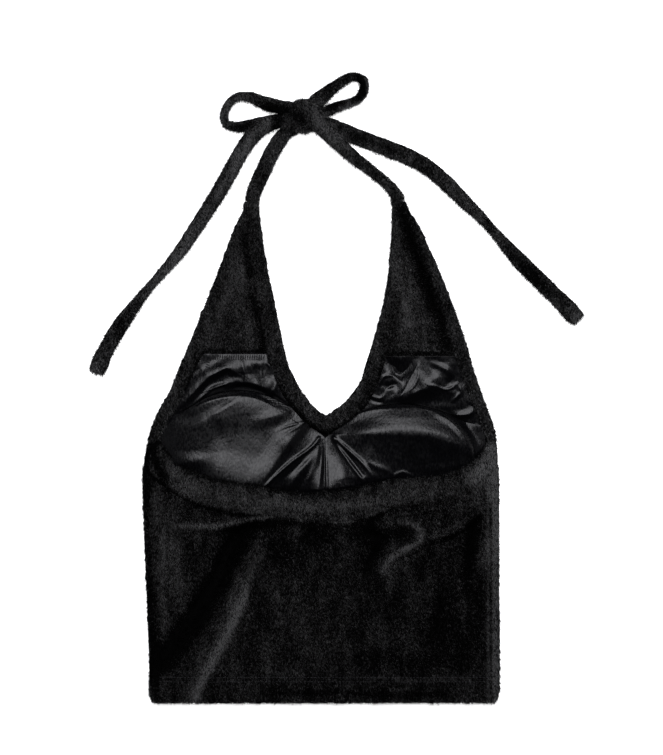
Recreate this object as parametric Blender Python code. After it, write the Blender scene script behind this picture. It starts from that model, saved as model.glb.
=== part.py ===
"""A halter neck top of short black plush, tied in a bow and laid flat with its back uppermost.

Sizes are in millimetres here and metres in the meshes. A point on the garment is given by two
real sizes: across, to the right of the centre front, and up, above the hem as it lies. The part
rests on Z = 0, +X is across and +Y runs up to the neck.
"""

import math

import bmesh
import bpy
import numpy as np

MM = 0.001

# Where the centre front and the hem lie, so that the origin is under the middle of the whole part.
CENTRE_FRONT_X = -11.8
HEM_Y = -316.06

# Cloth
PLUSH = 3.2  # wall of the plush with its pile
SATIN = 1.0  # wall of the lining
BINDING = 4.0  # the plush bands are folded double
SEAM = 0.3  # clearance between pieces that are sewn together
EDGE = 2.2  # width of the rounded edge of each piece
ROUND = 0.28  # how much of the wall the rounding takes from each face
FIRST_LAYER = PLUSH + SEAM  # what lies on the front panel starts here
CLEAR = 0.6  # clearance between curved layers
BACK_SEAM = 0.8  # clearance along the back's curved seam
GATHER_ROOM = 1.6  # the back stands this much higher over the gathers

# The side edges of the body and the wings, from the hem to the tip of each wing.
LEFT_EDGE = (  # up, across
    (0, -171.5), (2.2, -175.0), (7, -176.8), (20, -176.0), (50, -175.6), (100, -178.0),
    (150, -180.0), (200, -182.2), (230, -182.8), (238, -182.4), (250, -180.2), (262, -177.2),
    (275, -173.8), (290, -168.0), (300, -162.2), (310, -155.8), (330, -147.6), (343, -142.6),
    (373, -129.8), (403, -118.0), (433, -106.0), (453, -99.0), (473, -91.2), (493, -84.8), (500, -81.0),
)
RIGHT_EDGE = (  # up, across
    (0, 169.4), (2.2, 173.0), (7, 174.6), (50, 174.6), (100, 174.2), (150, 174.0), (200, 174.2),
    (230, 174.2), (238, 173.8), (250, 173.0), (262, 171.8), (275, 169.6), (290, 164.0), (300, 159.8),
    (310, 156.6), (333, 148.6), (353, 143.0), (373, 136.8), (403, 126.2), (423, 117.8),
    (443, 109.2), (463, 100.6), (483, 91.8), (493, 85.8), (500, 81.4),
)
# The V of the neck. Each row crosses its band, from the edge of the cloth to the seam.
V_UP = 287.0
NECK_BAND = (  # edge across, edge up, seam across, seam up
    (-67.0, 500, -73.3, 500), (-64.3, 475, -76.2, 475), (-61.5, 455, -76.6, 455),
    (-57.0, 430, -73.5, 430), (-50.6, 400, -68.0, 401), (-43.0, 360, -61.6, 362),
    (-38.0, 340, -57.0, 343), (-29.0, 320, -49.0, 322), (-20.5, 307, -39.5, 303),
    (-11.0, 295, -24.0, 284.5), (-4.0, 289, -9.0, 272), (0.0, V_UP, 0.0, 268),
    (5.0, 289, 9.0, 271.5), (13.0, 295, 25.0, 282.5), (26.0, 306, 41.5, 297), (35.2, 320, 51.0, 315),
    (42.6, 340, 58.8, 338), (48.0, 360, 65.0, 360), (58.8, 400, 75.4, 401), (64.0, 430, 80.0, 430),
    (65.8, 455, 81.4, 455), (67.0, 475, 80.0, 475), (67.2, 500, 74.0, 500),
)
# The seam between each armhole band and the wing inside it.
LEFT_ARMHOLE_SEAM = (  # up, across
    (262, -166.0), (275, -160.5), (285, -155.0), (300, -146.0), (315, -138.5), (335, -129.5),
    (350, -121.5), (380, -110.5), (400, -103.0), (430, -91.5), (450, -84.5), (465, -80.0),
    (480, -76.4), (500, -73.6),
)
RIGHT_ARMHOLE_SEAM = (  # up, across
    (262, 162.6), (275, 158.2), (290, 151.8), (305, 145.2), (320, 139.8), (335, 134.4), (350, 128.0),
    (380, 118.0), (400, 110.5), (420, 102.2), (450, 90.0), (465, 84.2), (480, 80.3), (500, 74.3),
)
FACING_TOP = 467.0
LINING_TOPS = {"left": 349.4, "right": 346.8}
LINING_FOOT = 178.0  # hidden under the back
# The top of each bust cup, as an arc in the satin from the armhole band to the neck band.
LEFT_CUP_RIM = (  # across, up
    (-155.2, 285.0), (-148, 289), (-140, 293.0), (-130, 299), (-115, 307.5), (-100, 311.5), (-85, 312.5),
    (-70, 311.5), (-55, 306.5), (-45, 301.5), (-34.3, 295.8),
)
RIGHT_CUP_RIM = (  # across, up
    (36.5, 291.5), (45, 294.5), (60, 298), (75, 299.2), (90, 298.2), (105, 295.4), (120, 290.8),
    (133, 285), (143, 280), (157.2, 278.0),
)
# The satin's side edges where the back's band covers them
LEFT_TUCK = ((-158.0, LINING_FOOT), (-158.0, 238.0), (-160.0, 250.0), (-163.0, 256.0))  # across, up
RIGHT_TUCK = ((150.0, LINING_FOOT), (152.0, 238.0), (155.6, 250.0), (159.2, 256.0))

# Foam cups, each a mound on a flat base. The left one is full, and the right one is pressed flat
# but for its top.
PADS = (  # centre across, centre up, half width, half height, rise, peak across, peak up, fall
    (-86.0, 246.0, 69.0, 62.5, 18.6, -84.0, 213.0, 1.3),
    (79.0, 237.0, 66.0, 57.5, 12.6, 83.0, 270.0, 1.55),
)
PAD_POWER = 2.3  # 2 is an ellipse, more is squarer
PAD_RIM = 2.0  # thickness of the foam at its rim
PAD_PEAK = 0.2  # share of a pad over which its peak is rounded
PAD_SLACK = 2.0  # the foam's slopes lie below the satin by a quarter of this
PAD_FADE = 9.0  # how far the cloth over a pad reaches before it is flat again
PAD_TURNS, PAD_RINGS = 32, 6

# The band along the top of the back. Each row crosses it, from its free edge to its seam.
BACK_BAND = (  # edge across, edge up, seam across, seam up
    (-166.0, 261.6, -176.6, 261.6), (-162.0, 256, -179.2, 249), (-157.0, 250.5, -181.6, 238),
    (-151.5, 245.5, -177.0, 229.5), (-145.5, 240.5, -167.5, 222.0), (-137.0, 234.5, -157.0, 214.5),
    (-126.0, 230, -144.5, 206.5), (-115.0, 227, -130.0, 199.8), (-99.0, 222.8, -112.0, 195.0),
    (-83.0, 220.6, -94.0, 192.6), (-66.0, 219, -74.0, 191.0), (-50.0, 214.2, -55.0, 188.5),
    (-34.0, 211, -36.0, 186.0), (-15.0, 210.8, -16.0, 184.6), (4.0, 211.8, 4.0, 183.4),
    (20.0, 213.6, 25.0, 183.0), (35.0, 218.2, 43.0, 186.5), (55.0, 222, 60.0, 194.0),
    (75.0, 225, 79.0, 200.5), (95.0, 226.2, 99.0, 204.0), (115.0, 227.6, 119.5, 206.6),
    (130.0, 231, 138.5, 211.5), (142.0, 238, 154.0, 219.0), (150.5, 245, 165.0, 228.0),
    (156.5, 250.5, 172.6, 238.0), (160.5, 256, 171.8, 249), (162.6, 261.6, 170.8, 261.6),
)
HEM_HIGH = 30.0  # depth of the turned hem
HEM_EXTRA = 1.0  # the hem is thicker by this
HEM_STITCH = 26.0  # height of the sunk line of stitching
LEFT_SIDE, RIGHT_SIDE = -177.5, 173.6  # the middle of each side edge
SIDE_SEAM = 165.0  # the right side seam, rolled to the back
GROOVE = 0.9  # depth of a sunk seam or line of stitching

# Large folds of the back: a ridge has a positive height. Points are across, up.
BACK_LOFT = 3.2  # the back stands this far off the front away from its edges
BACK_FOLDS = (  # height, half width, course
    (6.5, 17.0, ((-63, 157), (-78, 132), (-87, 97), (-105, 61), (-119, 31), (-127, 3))),
    (-3.2, 15.0, ((-82, 170), (-96, 153), (-104, 133), (-125, 97), (-149, 67), (-166, 39))),
    (2.6, 11.0, ((-158, 186), (-135, 181), (-109, 178), (-75, 178), (-40, 174), (5, 172))),
    (-2.4, 15.0, ((-44, 150), (-58, 118), (-72, 80), (-88, 40))),
    (4.6, 12.0, ((99, 174), (88, 161), (70, 148), (59, 124), (52, 100))),
    (-2.6, 11.0, ((55, 172), (50, 158), (44, 140))),
    (4.2, 10.0, ((91, 153), (107, 162), (125, 170), (139, 177), (150, 188), (160, 195))),
    (-3.0, 10.0, ((141, 165), (145, 127), (150, 107), (156, 88))),
    (2.8, 20.0, ((112, 128), (98, 84), (86, 30))),
    (2.0, 16.0, ((10, 140), (18, 90), (8, 44))),
    (2.2, 14.0, ((-160, 150), (-158, 110), (-164, 76))),
)
# Gathers of the satin under the V, and its main creases.
GATHERS = (  # height, half width, course
    (2.6, 6.0, ((-9, 262), (-30, 243), (-58, 214))),
    (1.8, 5.0, ((-5, 261), (-16, 240), (-31, 208))),
    (1.8, 5.0, ((3, 262), (5, 240), (6, 204))),
    (2.0, 5.0, ((8, 264), (20, 246), (37, 216))),
    (2.0, 6.0, ((12, 266), (30, 254), (52, 240))),
    (1.8, 5.0, ((-14, 268), (-32, 262), (-56, 258))),
)
VALLEY_LOFT = 7.0  # the satin bridges the gap between the cups
CREASES = (  # height, half width, course
    (2.2, 9.0, ((-138, 308), (-118, 328), (-95, 338), (-62, 340))),
    (2.0, 7.0, ((-147, 294), (-126, 307), (-106, 317), (-84, 322))),
    (2.6, 8.0, ((78, 304), (88, 322), (98, 338))),
    (2.0, 7.0, ((60, 326), (66, 310), (80, 305))),
    (2.2, 9.0, ((104, 320), (118, 330), (128, 334))),
    (1.8, 7.0, ((146, 288), (132, 294), (118, 300))),
)
WING_FOLDS = (  # height, half width, course
    (2.4, 12.0, ((76, 478), (82, 450), (90, 428), (98, 404), (104, 380), (108, 352))),
    (1.6, 10.0, ((-84, 452), (-90, 420), (-98, 390), (-104, 356))),
)

# Ties, turned through as tubes and lying flat
TIE_WIDE, TIE_THICK = 14.4, 5.2
TIE_BULK = 0.35  # where a tie bunches narrower, it stands up by this share of what it loses
TIE_STEP = 8.0  # spacing of its sections
TIE_SIDES = 8
KNOT = (-20.0, 587.2, 18.0, 15.6)  # centre across, centre up, half width, half height
KNOT_HIGH, KNOT_SINK = 17.0, 1.0

# Each row of a tie: across, up, width, lift of its underside
LEFT_STRAP = (
    (-73.6, 502.0, 13.4, 0.8), (-71.6, 509, 14.2, 0.5), (-68.8, 517, 14.8, 0.0), (-62.8, 530, 15.2, 0.0),
    (-56.2, 545, 15.2, 0.0), (-48, 560, 15.2, 0.0), (-41.8, 568.4, 14.0, 0.2), (-35, 573.0, 11.0, 0.8),
    (-26, 577.6, 9.4, 2.0),
)
RIGHT_STRAP = (
    (74.1, 502.4, 13.0, 0.8), (72.0, 508, 12.4, 0.5), (68.2, 513, 11.6, 0.2), (63.4, 518.4, 10.8, 0.0),
    (57, 524.2, 10.6, 0.0), (45.5, 533.4, 10.8, 0.5), (32, 543.4, 12.2, 1.8), (21, 552.6, 13.2, 4.8),
    (13, 560, 14.4, 6.2), (5, 567.5, 15.0, 6.5), (-4, 575.5, 14.0, 6.5), (-14, 583, 11.0, 6.5),
)
LEFT_LOOP = (
    (-29, 593.5, 10.5, 7.5), (-38, 595, 12.4, 7.3), (-47, 596.4, 14.0, 6.6), (-56.5, 598.4, 14.4, 4.6),
    (-65, 602.3, 12.4, 1.6), (-74, 606.6, 10.0, 0.0), (-82, 607.8, 8.8, 0.0), (-90, 606.3, 8.2, 0.0),
    (-96.3, 601, 8.0, 0.0), (-100, 594, 7.8, 0.0), (-102, 586.5, 7.8, 0.0), (-99.5, 579.6, 8.4, 0.0),
    (-92, 576.6, 9.8, 0.0), (-82, 576.8, 11.4, 0.0), (-71, 578.8, 12.4, 0.0), (-60, 581.4, 12.2, 0.0),
    (-49, 583.8, 11.0, 0.0), (-40, 585.2, 9.5, 0.3), (-29, 585, 8.5, 0.6),
)
RIGHT_LOOP = (
    (-14, 596.5, 12.4, 6.5), (-9.5, 601, 15.2, 5.5), (-3.5, 606, 15.2, 3.6), (2.5, 611.2, 13.2, 1.8),
    (9.5, 617, 10.8, 0.4), (17.5, 622.8, 9.4, 0.0), (24.5, 626.6, 9.0, 0.0), (32, 627.6, 9.2, 0.0),
    (38.2, 624.4, 9.4, 0.0), (40.2, 617.6, 9.6, 0.0), (38.8, 610.4, 9.2, 0.0), (34, 604.6, 8.8, 0.0),
    (25.5, 600.6, 8.4, 0.6), (17, 598.3, 9.2, 2.4), (9, 595, 10.8, 4.6), (1.5, 591.4, 11.2, 6.4),
    (-6, 588, 10.0, 6.8), (-14, 585, 9.0, 6.8),
)
LEFT_TAIL = (
    (-28, 582, 10.5, 7.0), (-40, 582, 12.0, 6.8), (-50, 580.5, 14.0, 6.5), (-61, 576.5, 15.2, 6.3),
    (-72, 567.5, 15.6, 5.4), (-83, 553, 15.2, 1.6), (-93.8, 534, 15.2, 0.0), (-105.5, 513, 15.0, 0.0),
    (-118, 493, 14.4, 0.0), (-131, 473, 13.8, 0.0), (-144.5, 453, 12.2, 0.0), (-161, 433, 9.4, 0.0),
    (-170, 423, 8.4, 0.0), (-178.5, 413, 8.8, 0.0), (-186.5, 403, 10.4, 0.0), (-194, 393, 12.6, 0.0),
    (-201.5, 383, 15.0, 0.0), (-207.8, 373, 15.8, 0.0), (-214, 363, 15.8, 0.0), (-220, 352, 15.6, 0.0),
    (-223.6, 345, 17.0, 0.0), (-226.6, 337, 18.0, 0.0), (-229.2, 329.6, 16.6, 0.0),
)
RIGHT_TAIL = (
    (-14, 584, 11.0, 0.3), (-2, 580.5, 14.6, 0.0), (15, 573.5, 16.4, 0.0), (30, 567.4, 16.2, 0.0),
    (45, 561.6, 16.0, 0.0), (60, 556, 16.2, 0.0), (75, 550.4, 16.4, 0.0), (90, 543.4, 16.2, 0.0),
    (105, 534.6, 15.4, 0.0), (118, 523.4, 15.4, 0.0), (129, 513, 14.8, 0.0), (138.5, 503, 13.6, 0.0),
    (149, 493, 12.0, 0.0), (159, 483, 10.0, 0.0), (168, 473, 9.0, 0.0), (177, 463, 11.0, 0.0),
    (185.5, 453, 13.6, 0.0), (194.5, 443, 15.4, 0.0), (204.5, 433, 15.8, 0.0), (214.8, 423, 15.8, 0.0),
    (225, 413, 16.0, 0.0), (235, 403, 16.2, 0.0), (241.6, 396.2, 17.6, 0.0), (248.4, 389.2, 18.0, 0.0),
    (254.4, 383.0, 16.6, 0.0),
)


def material(name, colour, roughness, sheen=0.0):
    made = bpy.data.materials.new(name)
    made.use_nodes = True
    surface = made.node_tree.nodes["Principled BSDF"]
    surface.inputs["Base Color"].default_value = (*colour, 1.0)
    surface.inputs["Roughness"].default_value = roughness
    surface.inputs["Sheen Weight"].default_value = sheen
    made.diffuse_color = (*colour, 1.0)
    return made


def placed(across, up, high=0.0):
    """A point on the garment, in metres in the part's frame."""
    return ((across + CENTRE_FRONT_X) * MM, (up + HEM_Y) * MM, high * MM)


def unplaced(point):
    return point[0] / MM - CENTRE_FRONT_X, point[1] / MM - HEM_Y


def smooth(share):
    share = min(max(share, 0.0), 1.0)
    return share * share * (3 - 2 * share)


def at_height(table, up):
    """What a table of (up, across) gives at a height."""
    return float(np.interp(up, [row[0] for row in table], [row[1] for row in table]))


def course(points):
    """A function from 0 to 1 along a line of points, by length."""
    line = np.array(points, float)
    far = np.concatenate([[0], np.cumsum(np.hypot(*np.diff(line, axis=0).T[:2]))])
    return lambda share: np.array([np.interp(share * far[-1], far, column) for column in line.T])


def folds(table, across, up):
    """The height of all the folds of a table at one point."""
    total = 0.0
    for high, half_width, line in table:
        near = half_width
        for (a0, u0), (a1, u1) in zip(line, line[1:]):
            along = ((across - a0) * (a1 - a0) + (up - u0) * (u1 - u0)) / ((a1 - a0) ** 2 + (u1 - u0) ** 2)
            along = min(max(along, 0.0), 1.0)
            near = min(near, math.hypot(across - a0 - along * (a1 - a0), up - u0 - along * (u1 - u0)))
        total += high * smooth(1 - near / half_width)
    return total


def pad_share(pad, across, up):
    """1 on a pad's rim and more beyond it."""
    middle_across, middle_up, half_width, half_height = pad[:4]
    wide = abs((across - middle_across) / half_width) ** PAD_POWER
    return (wide + abs((up - middle_up) / half_height) ** PAD_POWER) ** (1 / PAD_POWER)


def peak_share(pad, across, up):
    """0 on a pad's peak and 1 on its rim, found by halving."""
    low, high = 0.0, 1.0
    for _ in range(14):
        share = (low + high) / 2
        seen = pad[5] + (across - pad[5]) / share, pad[6] + (up - pad[6]) / share
        low, high = (share, high) if pad_share(pad, *seen) > 1 else (low, share)
    return high


def dome(pad, share):
    """The height of a pad, with a rounded peak."""
    rounded = (math.hypot(share, PAD_PEAK) - PAD_PEAK) / (math.hypot(1, PAD_PEAK) - PAD_PEAK)
    return PAD_RIM + (pad[4] - PAD_RIM) * (1 - rounded ** pad[7])


def pad_rise(across, up):
    """How far the pads lift the cloth that lies on them."""
    rise = 0.0
    for pad in PADS:
        share = pad_share(pad, across, up)
        beyond = (share - 1) * (pad[2] + pad[3]) / 2
        on_pad = dome(pad, peak_share(pad, across, up)) if share < 1 else PAD_RIM * (1 - beyond / PAD_FADE)
        rise = max(rise, on_pad)
    return rise


def under_front(across, up):
    return 0.0


def under_wing(across, up):
    """The underside of the facings and bands of the wings."""
    return FIRST_LAYER + max(0.0, folds(WING_FOLDS, across, up)) * smooth((up - 348) / 20)


def under_upper_lining(across, up):
    return FIRST_LAYER + max(0.0, folds(CREASES, across, up))


def under_cup_lining(across, up):
    rise = pad_rise(across, up)
    valley = VALLEY_LOFT * math.exp(-(((across - 1) / 18) ** 2)) * min(1.0, max(0.0, (269 - up) / 56))
    seen = smooth((up - 196) / 14)
    gathered = max(0.0, folds(GATHERS, across, up)) * seen
    return FIRST_LAYER + max(rise + 0.8 * smooth(rise / 1.5), valley) + gathered


def under_back(across, up):
    """The underside of the back, which lies over the pads and sinks onto the front below them."""
    bridge = 7.5 * math.exp(-(((across + 3) / 26) ** 2)) * smooth((up - 138) / 60)
    rise = max(pad_rise(across, up), bridge)
    over_lining = SATIN + 0.8 + CLEAR + GATHER_ROOM * smooth((66 - abs(across + 8)) / 20)
    over_lining *= smooth((up - 140) / 32) * smooth((across + 172) / 12) * smooth((168 - across) / 12)
    left, right = at_height(LEFT_EDGE, up), at_height(RIGHT_EDGE, up)
    inside = smooth((across - left) / 34) * smooth((right - across) / 34) * smooth((up + 4) / 30)
    inside *= smooth((232 - up) / 40)
    loft = max(0.0, (BACK_LOFT + folds(BACK_FOLDS, across, up)) * inside)
    return FIRST_LAYER + rise + over_lining + loft


def share_of(index, cells, length):
    """How far along a row of cells a line of points lies, with a narrow cell at each end."""
    if index in (0, cells):
        return index / cells
    edge = min(EDGE / length, 0.8 / cells)
    return edge + (1 - 2 * edge) * (index - 1) / (cells - 2)


def keep(name, mesh, finish):
    """Makes an object of a closed mesh, with its faces outwards."""
    bmesh.ops.recalc_face_normals(mesh, faces=mesh.faces)
    data = bpy.data.meshes.new(name)
    mesh.to_mesh(data)
    mesh.free()
    data.materials.append(finish)
    data.polygons.foreach_set("use_smooth", [True] * len(data.polygons))
    made = bpy.data.objects.new(name, data)
    garment.objects.link(made)
    return made


def cloth(name, grids, under, wall, finish, extra=None):
    """A wall of cloth over one or more grids. A grid is (place, columns, rows) and place(i, j)
    gives the across and up of its point. Grids are joined where their points meet."""
    mesh = bmesh.new()
    for place, columns, rows in grids:
        made = bmesh.ops.create_grid(mesh, x_segments=columns, y_segments=rows, size=0.5)
        for index, point in enumerate(made["verts"]):
            j, i = divmod(index, columns + 1)
            point.co = placed(*place(i, j))
    bmesh.ops.remove_doubles(mesh, verts=mesh.verts, dist=0.01 * MM)
    rim = {tuple(p.co) for edge in mesh.edges if len(edge.link_faces) == 1 for p in edge.verts}
    lower = list(mesh.verts)
    grown = bmesh.ops.extrude_face_region(mesh, geom=list(mesh.faces))
    upper = [item for item in grown["geom"] if isinstance(item, bmesh.types.BMVert)]
    for points, is_upper in ((lower, False), (upper, True)):
        for point in points:
            across, up = unplaced(point.co)
            low = under(across, up)
            thick = wall + (extra(across, up) if extra else 0.0)
            taken = ROUND * wall if tuple(point.co) in rim else 0.0
            point.co.z = (low + thick - taken if is_upper else low + taken) * MM
    return keep(name, mesh, finish)


def patch(foot, top, left, right, columns, rows):
    """A grid between four courses of (across, up). foot and top run to the right, left and
    right run upwards, and they meet at the corners. columns and rows are numbers of cells, or
    the shares of the width and height at which the lines of points lie."""
    foot, top, left, right = course(foot), course(top), course(left), course(right)
    wide = (np.linalg.norm(foot(1) - foot(0)) + np.linalg.norm(top(1) - top(0))) / 2
    high = (np.linalg.norm(top(0) - foot(0)) + np.linalg.norm(top(1) - foot(1))) / 2

    if isinstance(columns, int):
        columns = [share_of(i, columns, wide) for i in range(columns + 1)]
    if isinstance(rows, int):
        rows = [share_of(j, rows, high) for j in range(rows + 1)]

    def place(i, j):
        s, t = columns[i], rows[j]
        ruled = (1 - t) * foot(s) + t * top(s) + (1 - s) * left(t) + s * right(t)
        corners = (1 - s) * ((1 - t) * foot(0) + t * top(0)) + s * ((1 - t) * foot(1) + t * top(1))
        return tuple(ruled - corners)

    return place, len(columns) - 1, len(rows) - 1


def band(table, rows, first=0, last=None):
    """A grid along a band, whose table gives each line across it."""
    lines = np.array(table[first:last], float)
    middle = (lines[:, :2] + lines[:, 2:]) / 2
    whole = course(np.column_stack([middle, lines]))
    length = np.hypot(*np.diff(middle, axis=0).T).sum()

    def place(i, j):
        line = whole(share_of(j, rows, length))[2:]
        wide = math.dist(line[:2], line[2:])
        across = share_of(i, 4, wide)
        return tuple(line[:2] * (1 - across) + line[2:] * across)

    return place, 4, rows


def band_between(outer, inner, foot, top, rows):
    """A grid up a band whose two sides are tables of (up, across)."""

    def place(i, j):
        up = foot + (top - foot) * share_of(j, rows, top - foot)
        a0, a1 = at_height(outer, up), at_height(inner, up)
        return a0 + (a1 - a0) * share_of(i, 4, abs(a1 - a0)), up

    return place, 4, rows


def front_half(outer, neck, columns, rows):
    """Half of the front, from a side edge to the centre line and, above the V, to the neck."""

    def place(i, j):
        up = rows[j]
        a0 = at_height(outer, up)
        a1 = at_height(neck, up) if up > V_UP else 0.0
        return a0 + (a1 - a0) * share_of(i, columns, abs(a1 - a0)), up

    return place, columns, len(rows) - 1


def tie(name, table, finish):
    """A flat tube of cloth along a table of (across, up, width, lift), flat where it lies."""
    rows = np.array(table, float)
    far = np.concatenate([[0], np.cumsum(np.hypot(*np.diff(rows[:, :2], axis=0).T))])
    count = max(4, round(far[-1] / TIE_STEP))
    wanted = np.linspace(0, far[-1], count + 1)
    slope = np.gradient(rows, far, axis=0)
    stations = []
    for place in wanted:  # a smooth curve through the rows
        k = min(max(int(np.searchsorted(far, place)) - 1, 0), len(far) - 2)
        span = far[k + 1] - far[k]
        t = (place - far[k]) / span
        stations.append(
            rows[k] * (1 + 2 * t) * (1 - t) ** 2 + rows[k + 1] * t * t * (3 - 2 * t)
            + span * (slope[k] * t * (1 - t) ** 2 - slope[k + 1] * t * t * (1 - t))
        )
    stations = np.array(stations)
    ahead = np.gradient(stations[:, :2], axis=0)
    ahead /= np.hypot(*ahead.T)[:, None]
    mesh = bmesh.new()
    made = bmesh.ops.create_grid(mesh, x_segments=count, y_segments=TIE_SIDES, size=0.5)
    for index, point in enumerate(made["verts"]):
        j, i = divmod(index, count + 1)
        across, up, width, lift = stations[i]
        lift = max(lift, 0.0)
        half = width / 2 * (0.86 if i in (0, count) else 1.0)
        high = TIE_THICK / 2 + TIE_BULK * max(0.0, TIE_WIDE - width) / 2
        turn = 2 * math.pi * (j % TIE_SIDES + 0.5) / TIE_SIDES
        side = half * math.cos(turn) / math.cos(math.pi / TIE_SIDES)
        rise = max(high * (1 + math.sin(turn) / math.cos(math.pi / TIE_SIDES)) - 0.25 * high, 0.0)
        point.co = placed(across - side * ahead[i][1], up + side * ahead[i][0], lift + rise)
    bmesh.ops.remove_doubles(mesh, verts=mesh.verts, dist=0.001 * MM)
    bmesh.ops.holes_fill(mesh, edges=[edge for edge in mesh.edges if len(edge.link_faces) == 1])
    return keep(name, mesh, finish)


def blob(name, middle_across, middle_up, half_width, half_height, high, sink, foot, finish, collection):
    """A rounded lump that is flat at its foot, with a shallow waist across it."""
    mesh = bmesh.new()
    bmesh.ops.create_uvsphere(mesh, u_segments=20, v_segments=12, radius=1.0)
    for point in mesh.verts:
        x, y, z = point.co
        waist = 1 - 0.06 * math.cos(math.pi * min(abs(x + 0.35 * y) / 0.55, 1)) * max(z, 0)
        lump = (z + 1) / 2 * (high + sink) * waist - sink
        point.co = placed(middle_across + half_width * x, middle_up + half_height * y, max(lump, foot))
    bmesh.ops.remove_doubles(mesh, verts=mesh.verts, dist=0.01 * MM)
    made = keep(name, mesh, finish)
    if collection is not garment:
        garment.objects.unlink(made)
        collection.objects.link(made)
    return made


for old in list(bpy.data.objects):
    bpy.data.objects.remove(old)

garment = bpy.data.collections.new("halter_neck_top")
cutters = bpy.data.collections.new("cutters")
bpy.context.scene.collection.children.link(garment)
bpy.context.scene.collection.children.link(cutters)

plush = material("black_plush", (0.012, 0.012, 0.013), 0.95, 0.3)
binding = material("black_plush_binding", (0.014, 0.014, 0.015), 0.95, 0.3)
satin = material("black_satin", (0.03, 0.03, 0.032), 0.4)
foam = material("cup_foam", (0.05, 0.05, 0.052), 0.9)

# Front: one panel from the hem to the tips of both wings, resting on its face.
FRONT_ROWS = (
    0, EDGE, 12, 50, 100, 150, 200, 230, 250, 262, 275, V_UP, 291, 296, 303, 310, 320, 335, 350,
    365, 380, 400, 420, 440, 460, 480, 500 - EDGE, 500,
)
LEFT_NECK = tuple(sorted((up, across) for across, up, *_ in NECK_BAND if across <= 0))
RIGHT_NECK = tuple(sorted((up, across) for across, up, *_ in NECK_BAND if across >= 0))
cloth(
    "front_panel",
    [front_half(LEFT_EDGE, LEFT_NECK, 9, FRONT_ROWS), front_half(RIGHT_EDGE, RIGHT_NECK, 9, FRONT_ROWS)],
    under_front, PLUSH, plush,
)

# Wings: bands along the edges with a plush facing between them.
SIDE = SEAM / 2


def moved(table, by):
    """A table of (up, across) moved across."""
    return tuple((up, across + by) for up, across in table)


for name, edge, seam in (
    ("armhole_band_left", LEFT_EDGE, LEFT_ARMHOLE_SEAM),
    ("armhole_band_right", RIGHT_EDGE, RIGHT_ARMHOLE_SEAM),
):
    outward = -1 if name.endswith("left") else 1
    cloth(name, [band_between(edge, moved(seam, outward * SIDE), 261.6 + SEAM, 500, 26)],
          under_wing, BINDING, binding)

V_ROW = [row[0] for row in NECK_BAND].index(0.0)
NECK_BAND_CLEAR = tuple(
    (a0, u0, a1 - SEAM * (a1 - a0) / math.dist((a0, u0), (a1, u1)) * 1.6,
     u1 - SEAM * (u1 - u0) / math.dist((a0, u0), (a1, u1)) * 1.6)
    for a0, u0, a1, u1 in NECK_BAND
)
cloth("neckline_band", [band(NECK_BAND_CLEAR, 52)], under_wing, BINDING, binding)


def seam_points(side, low, high):
    """The neck band's seam on one side between two heights, from low to high."""
    rows = [(a1, u1) for _, _, a1, u1 in NECK_BAND if a1 * side > 0 or u1 <= 268]
    rows = sorted({(round(a, 3), u) for a, u in rows}, key=lambda row: row[1])
    table = [(u, a) for a, u in rows]
    ups = [low, *(u for u, _ in table if low < u < high), high]
    return [(at_height(table, up), up) for up in ups]


def side_points(table, low, high):
    ups = [low, *(up for up, _ in table if low < up < high), high]
    return [(at_height(table, up), up) for up in ups]


def shifted(points, by):
    return [(across + by, up) for across, up in points]


for side, word, armhole in ((-1, "left", LEFT_ARMHOLE_SEAM), (1, "right", RIGHT_ARMHOLE_SEAM)):
    rim = LEFT_CUP_RIM if side < 0 else RIGHT_CUP_RIM
    lining_top = LINING_TOPS[word]
    # The facing of the wing
    outer = shifted(side_points(armhole, lining_top + SIDE, FACING_TOP), -side * SIDE)
    inner = shifted(seam_points(side, lining_top + SIDE, FACING_TOP), side * SIDE)
    left, right = (outer, inner) if side < 0 else (inner, outer)
    cloth(f"wing_facing_{word}", [patch((left[0], right[0]), (left[-1], right[-1]), left, right, 7, 12)],
          under_wing, PLUSH, plush)
    # The satin between the facing and the cup
    near_arm, near_neck = (rim[0][1], rim[-1][1]) if side < 0 else (rim[-1][1], rim[0][1])
    outer = shifted(side_points(armhole, near_arm + SIDE, lining_top - SIDE), -side * SIDE)
    inner = shifted(seam_points(side, near_neck + SIDE, lining_top - SIDE), side * SIDE)
    left, right = (outer, inner) if side < 0 else (inner, outer)
    foot = [left[0], *((across, up + SEAM) for across, up in rim[1:-1]), right[0]]
    cloth(f"upper_lining_{word}", [patch(foot, (left[-1], right[-1]), left, right, 13, 8)],
          under_upper_lining, SATIN, satin)
    # The satin over the cup, gathered to the V and running under the back
    inner = [(side * SIDE * 1.4, LINING_FOOT), (side * SIDE * 1.4, 225.0), (side * SIDE * 1.4, 267.4),
             *shifted(seam_points(side, 268.6, near_neck - SIDE), side * SIDE)[1:]]
    outer = shifted(side_points(armhole, 262.0, near_arm - SIDE), -side * SIDE)
    outer = [*(LEFT_TUCK if side < 0 else RIGHT_TUCK), *outer]
    left, right = (outer, inner) if side < 0 else (inner, outer)
    top = [left[-1], *((across, up - SEAM) for across, up in rim[1:-1]), right[-1]]
    cloth(f"cup_lining_{word}", [patch((left[0], right[0]), top, left, right, 20, 14)],
          under_cup_lining, SATIN, satin)

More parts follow.
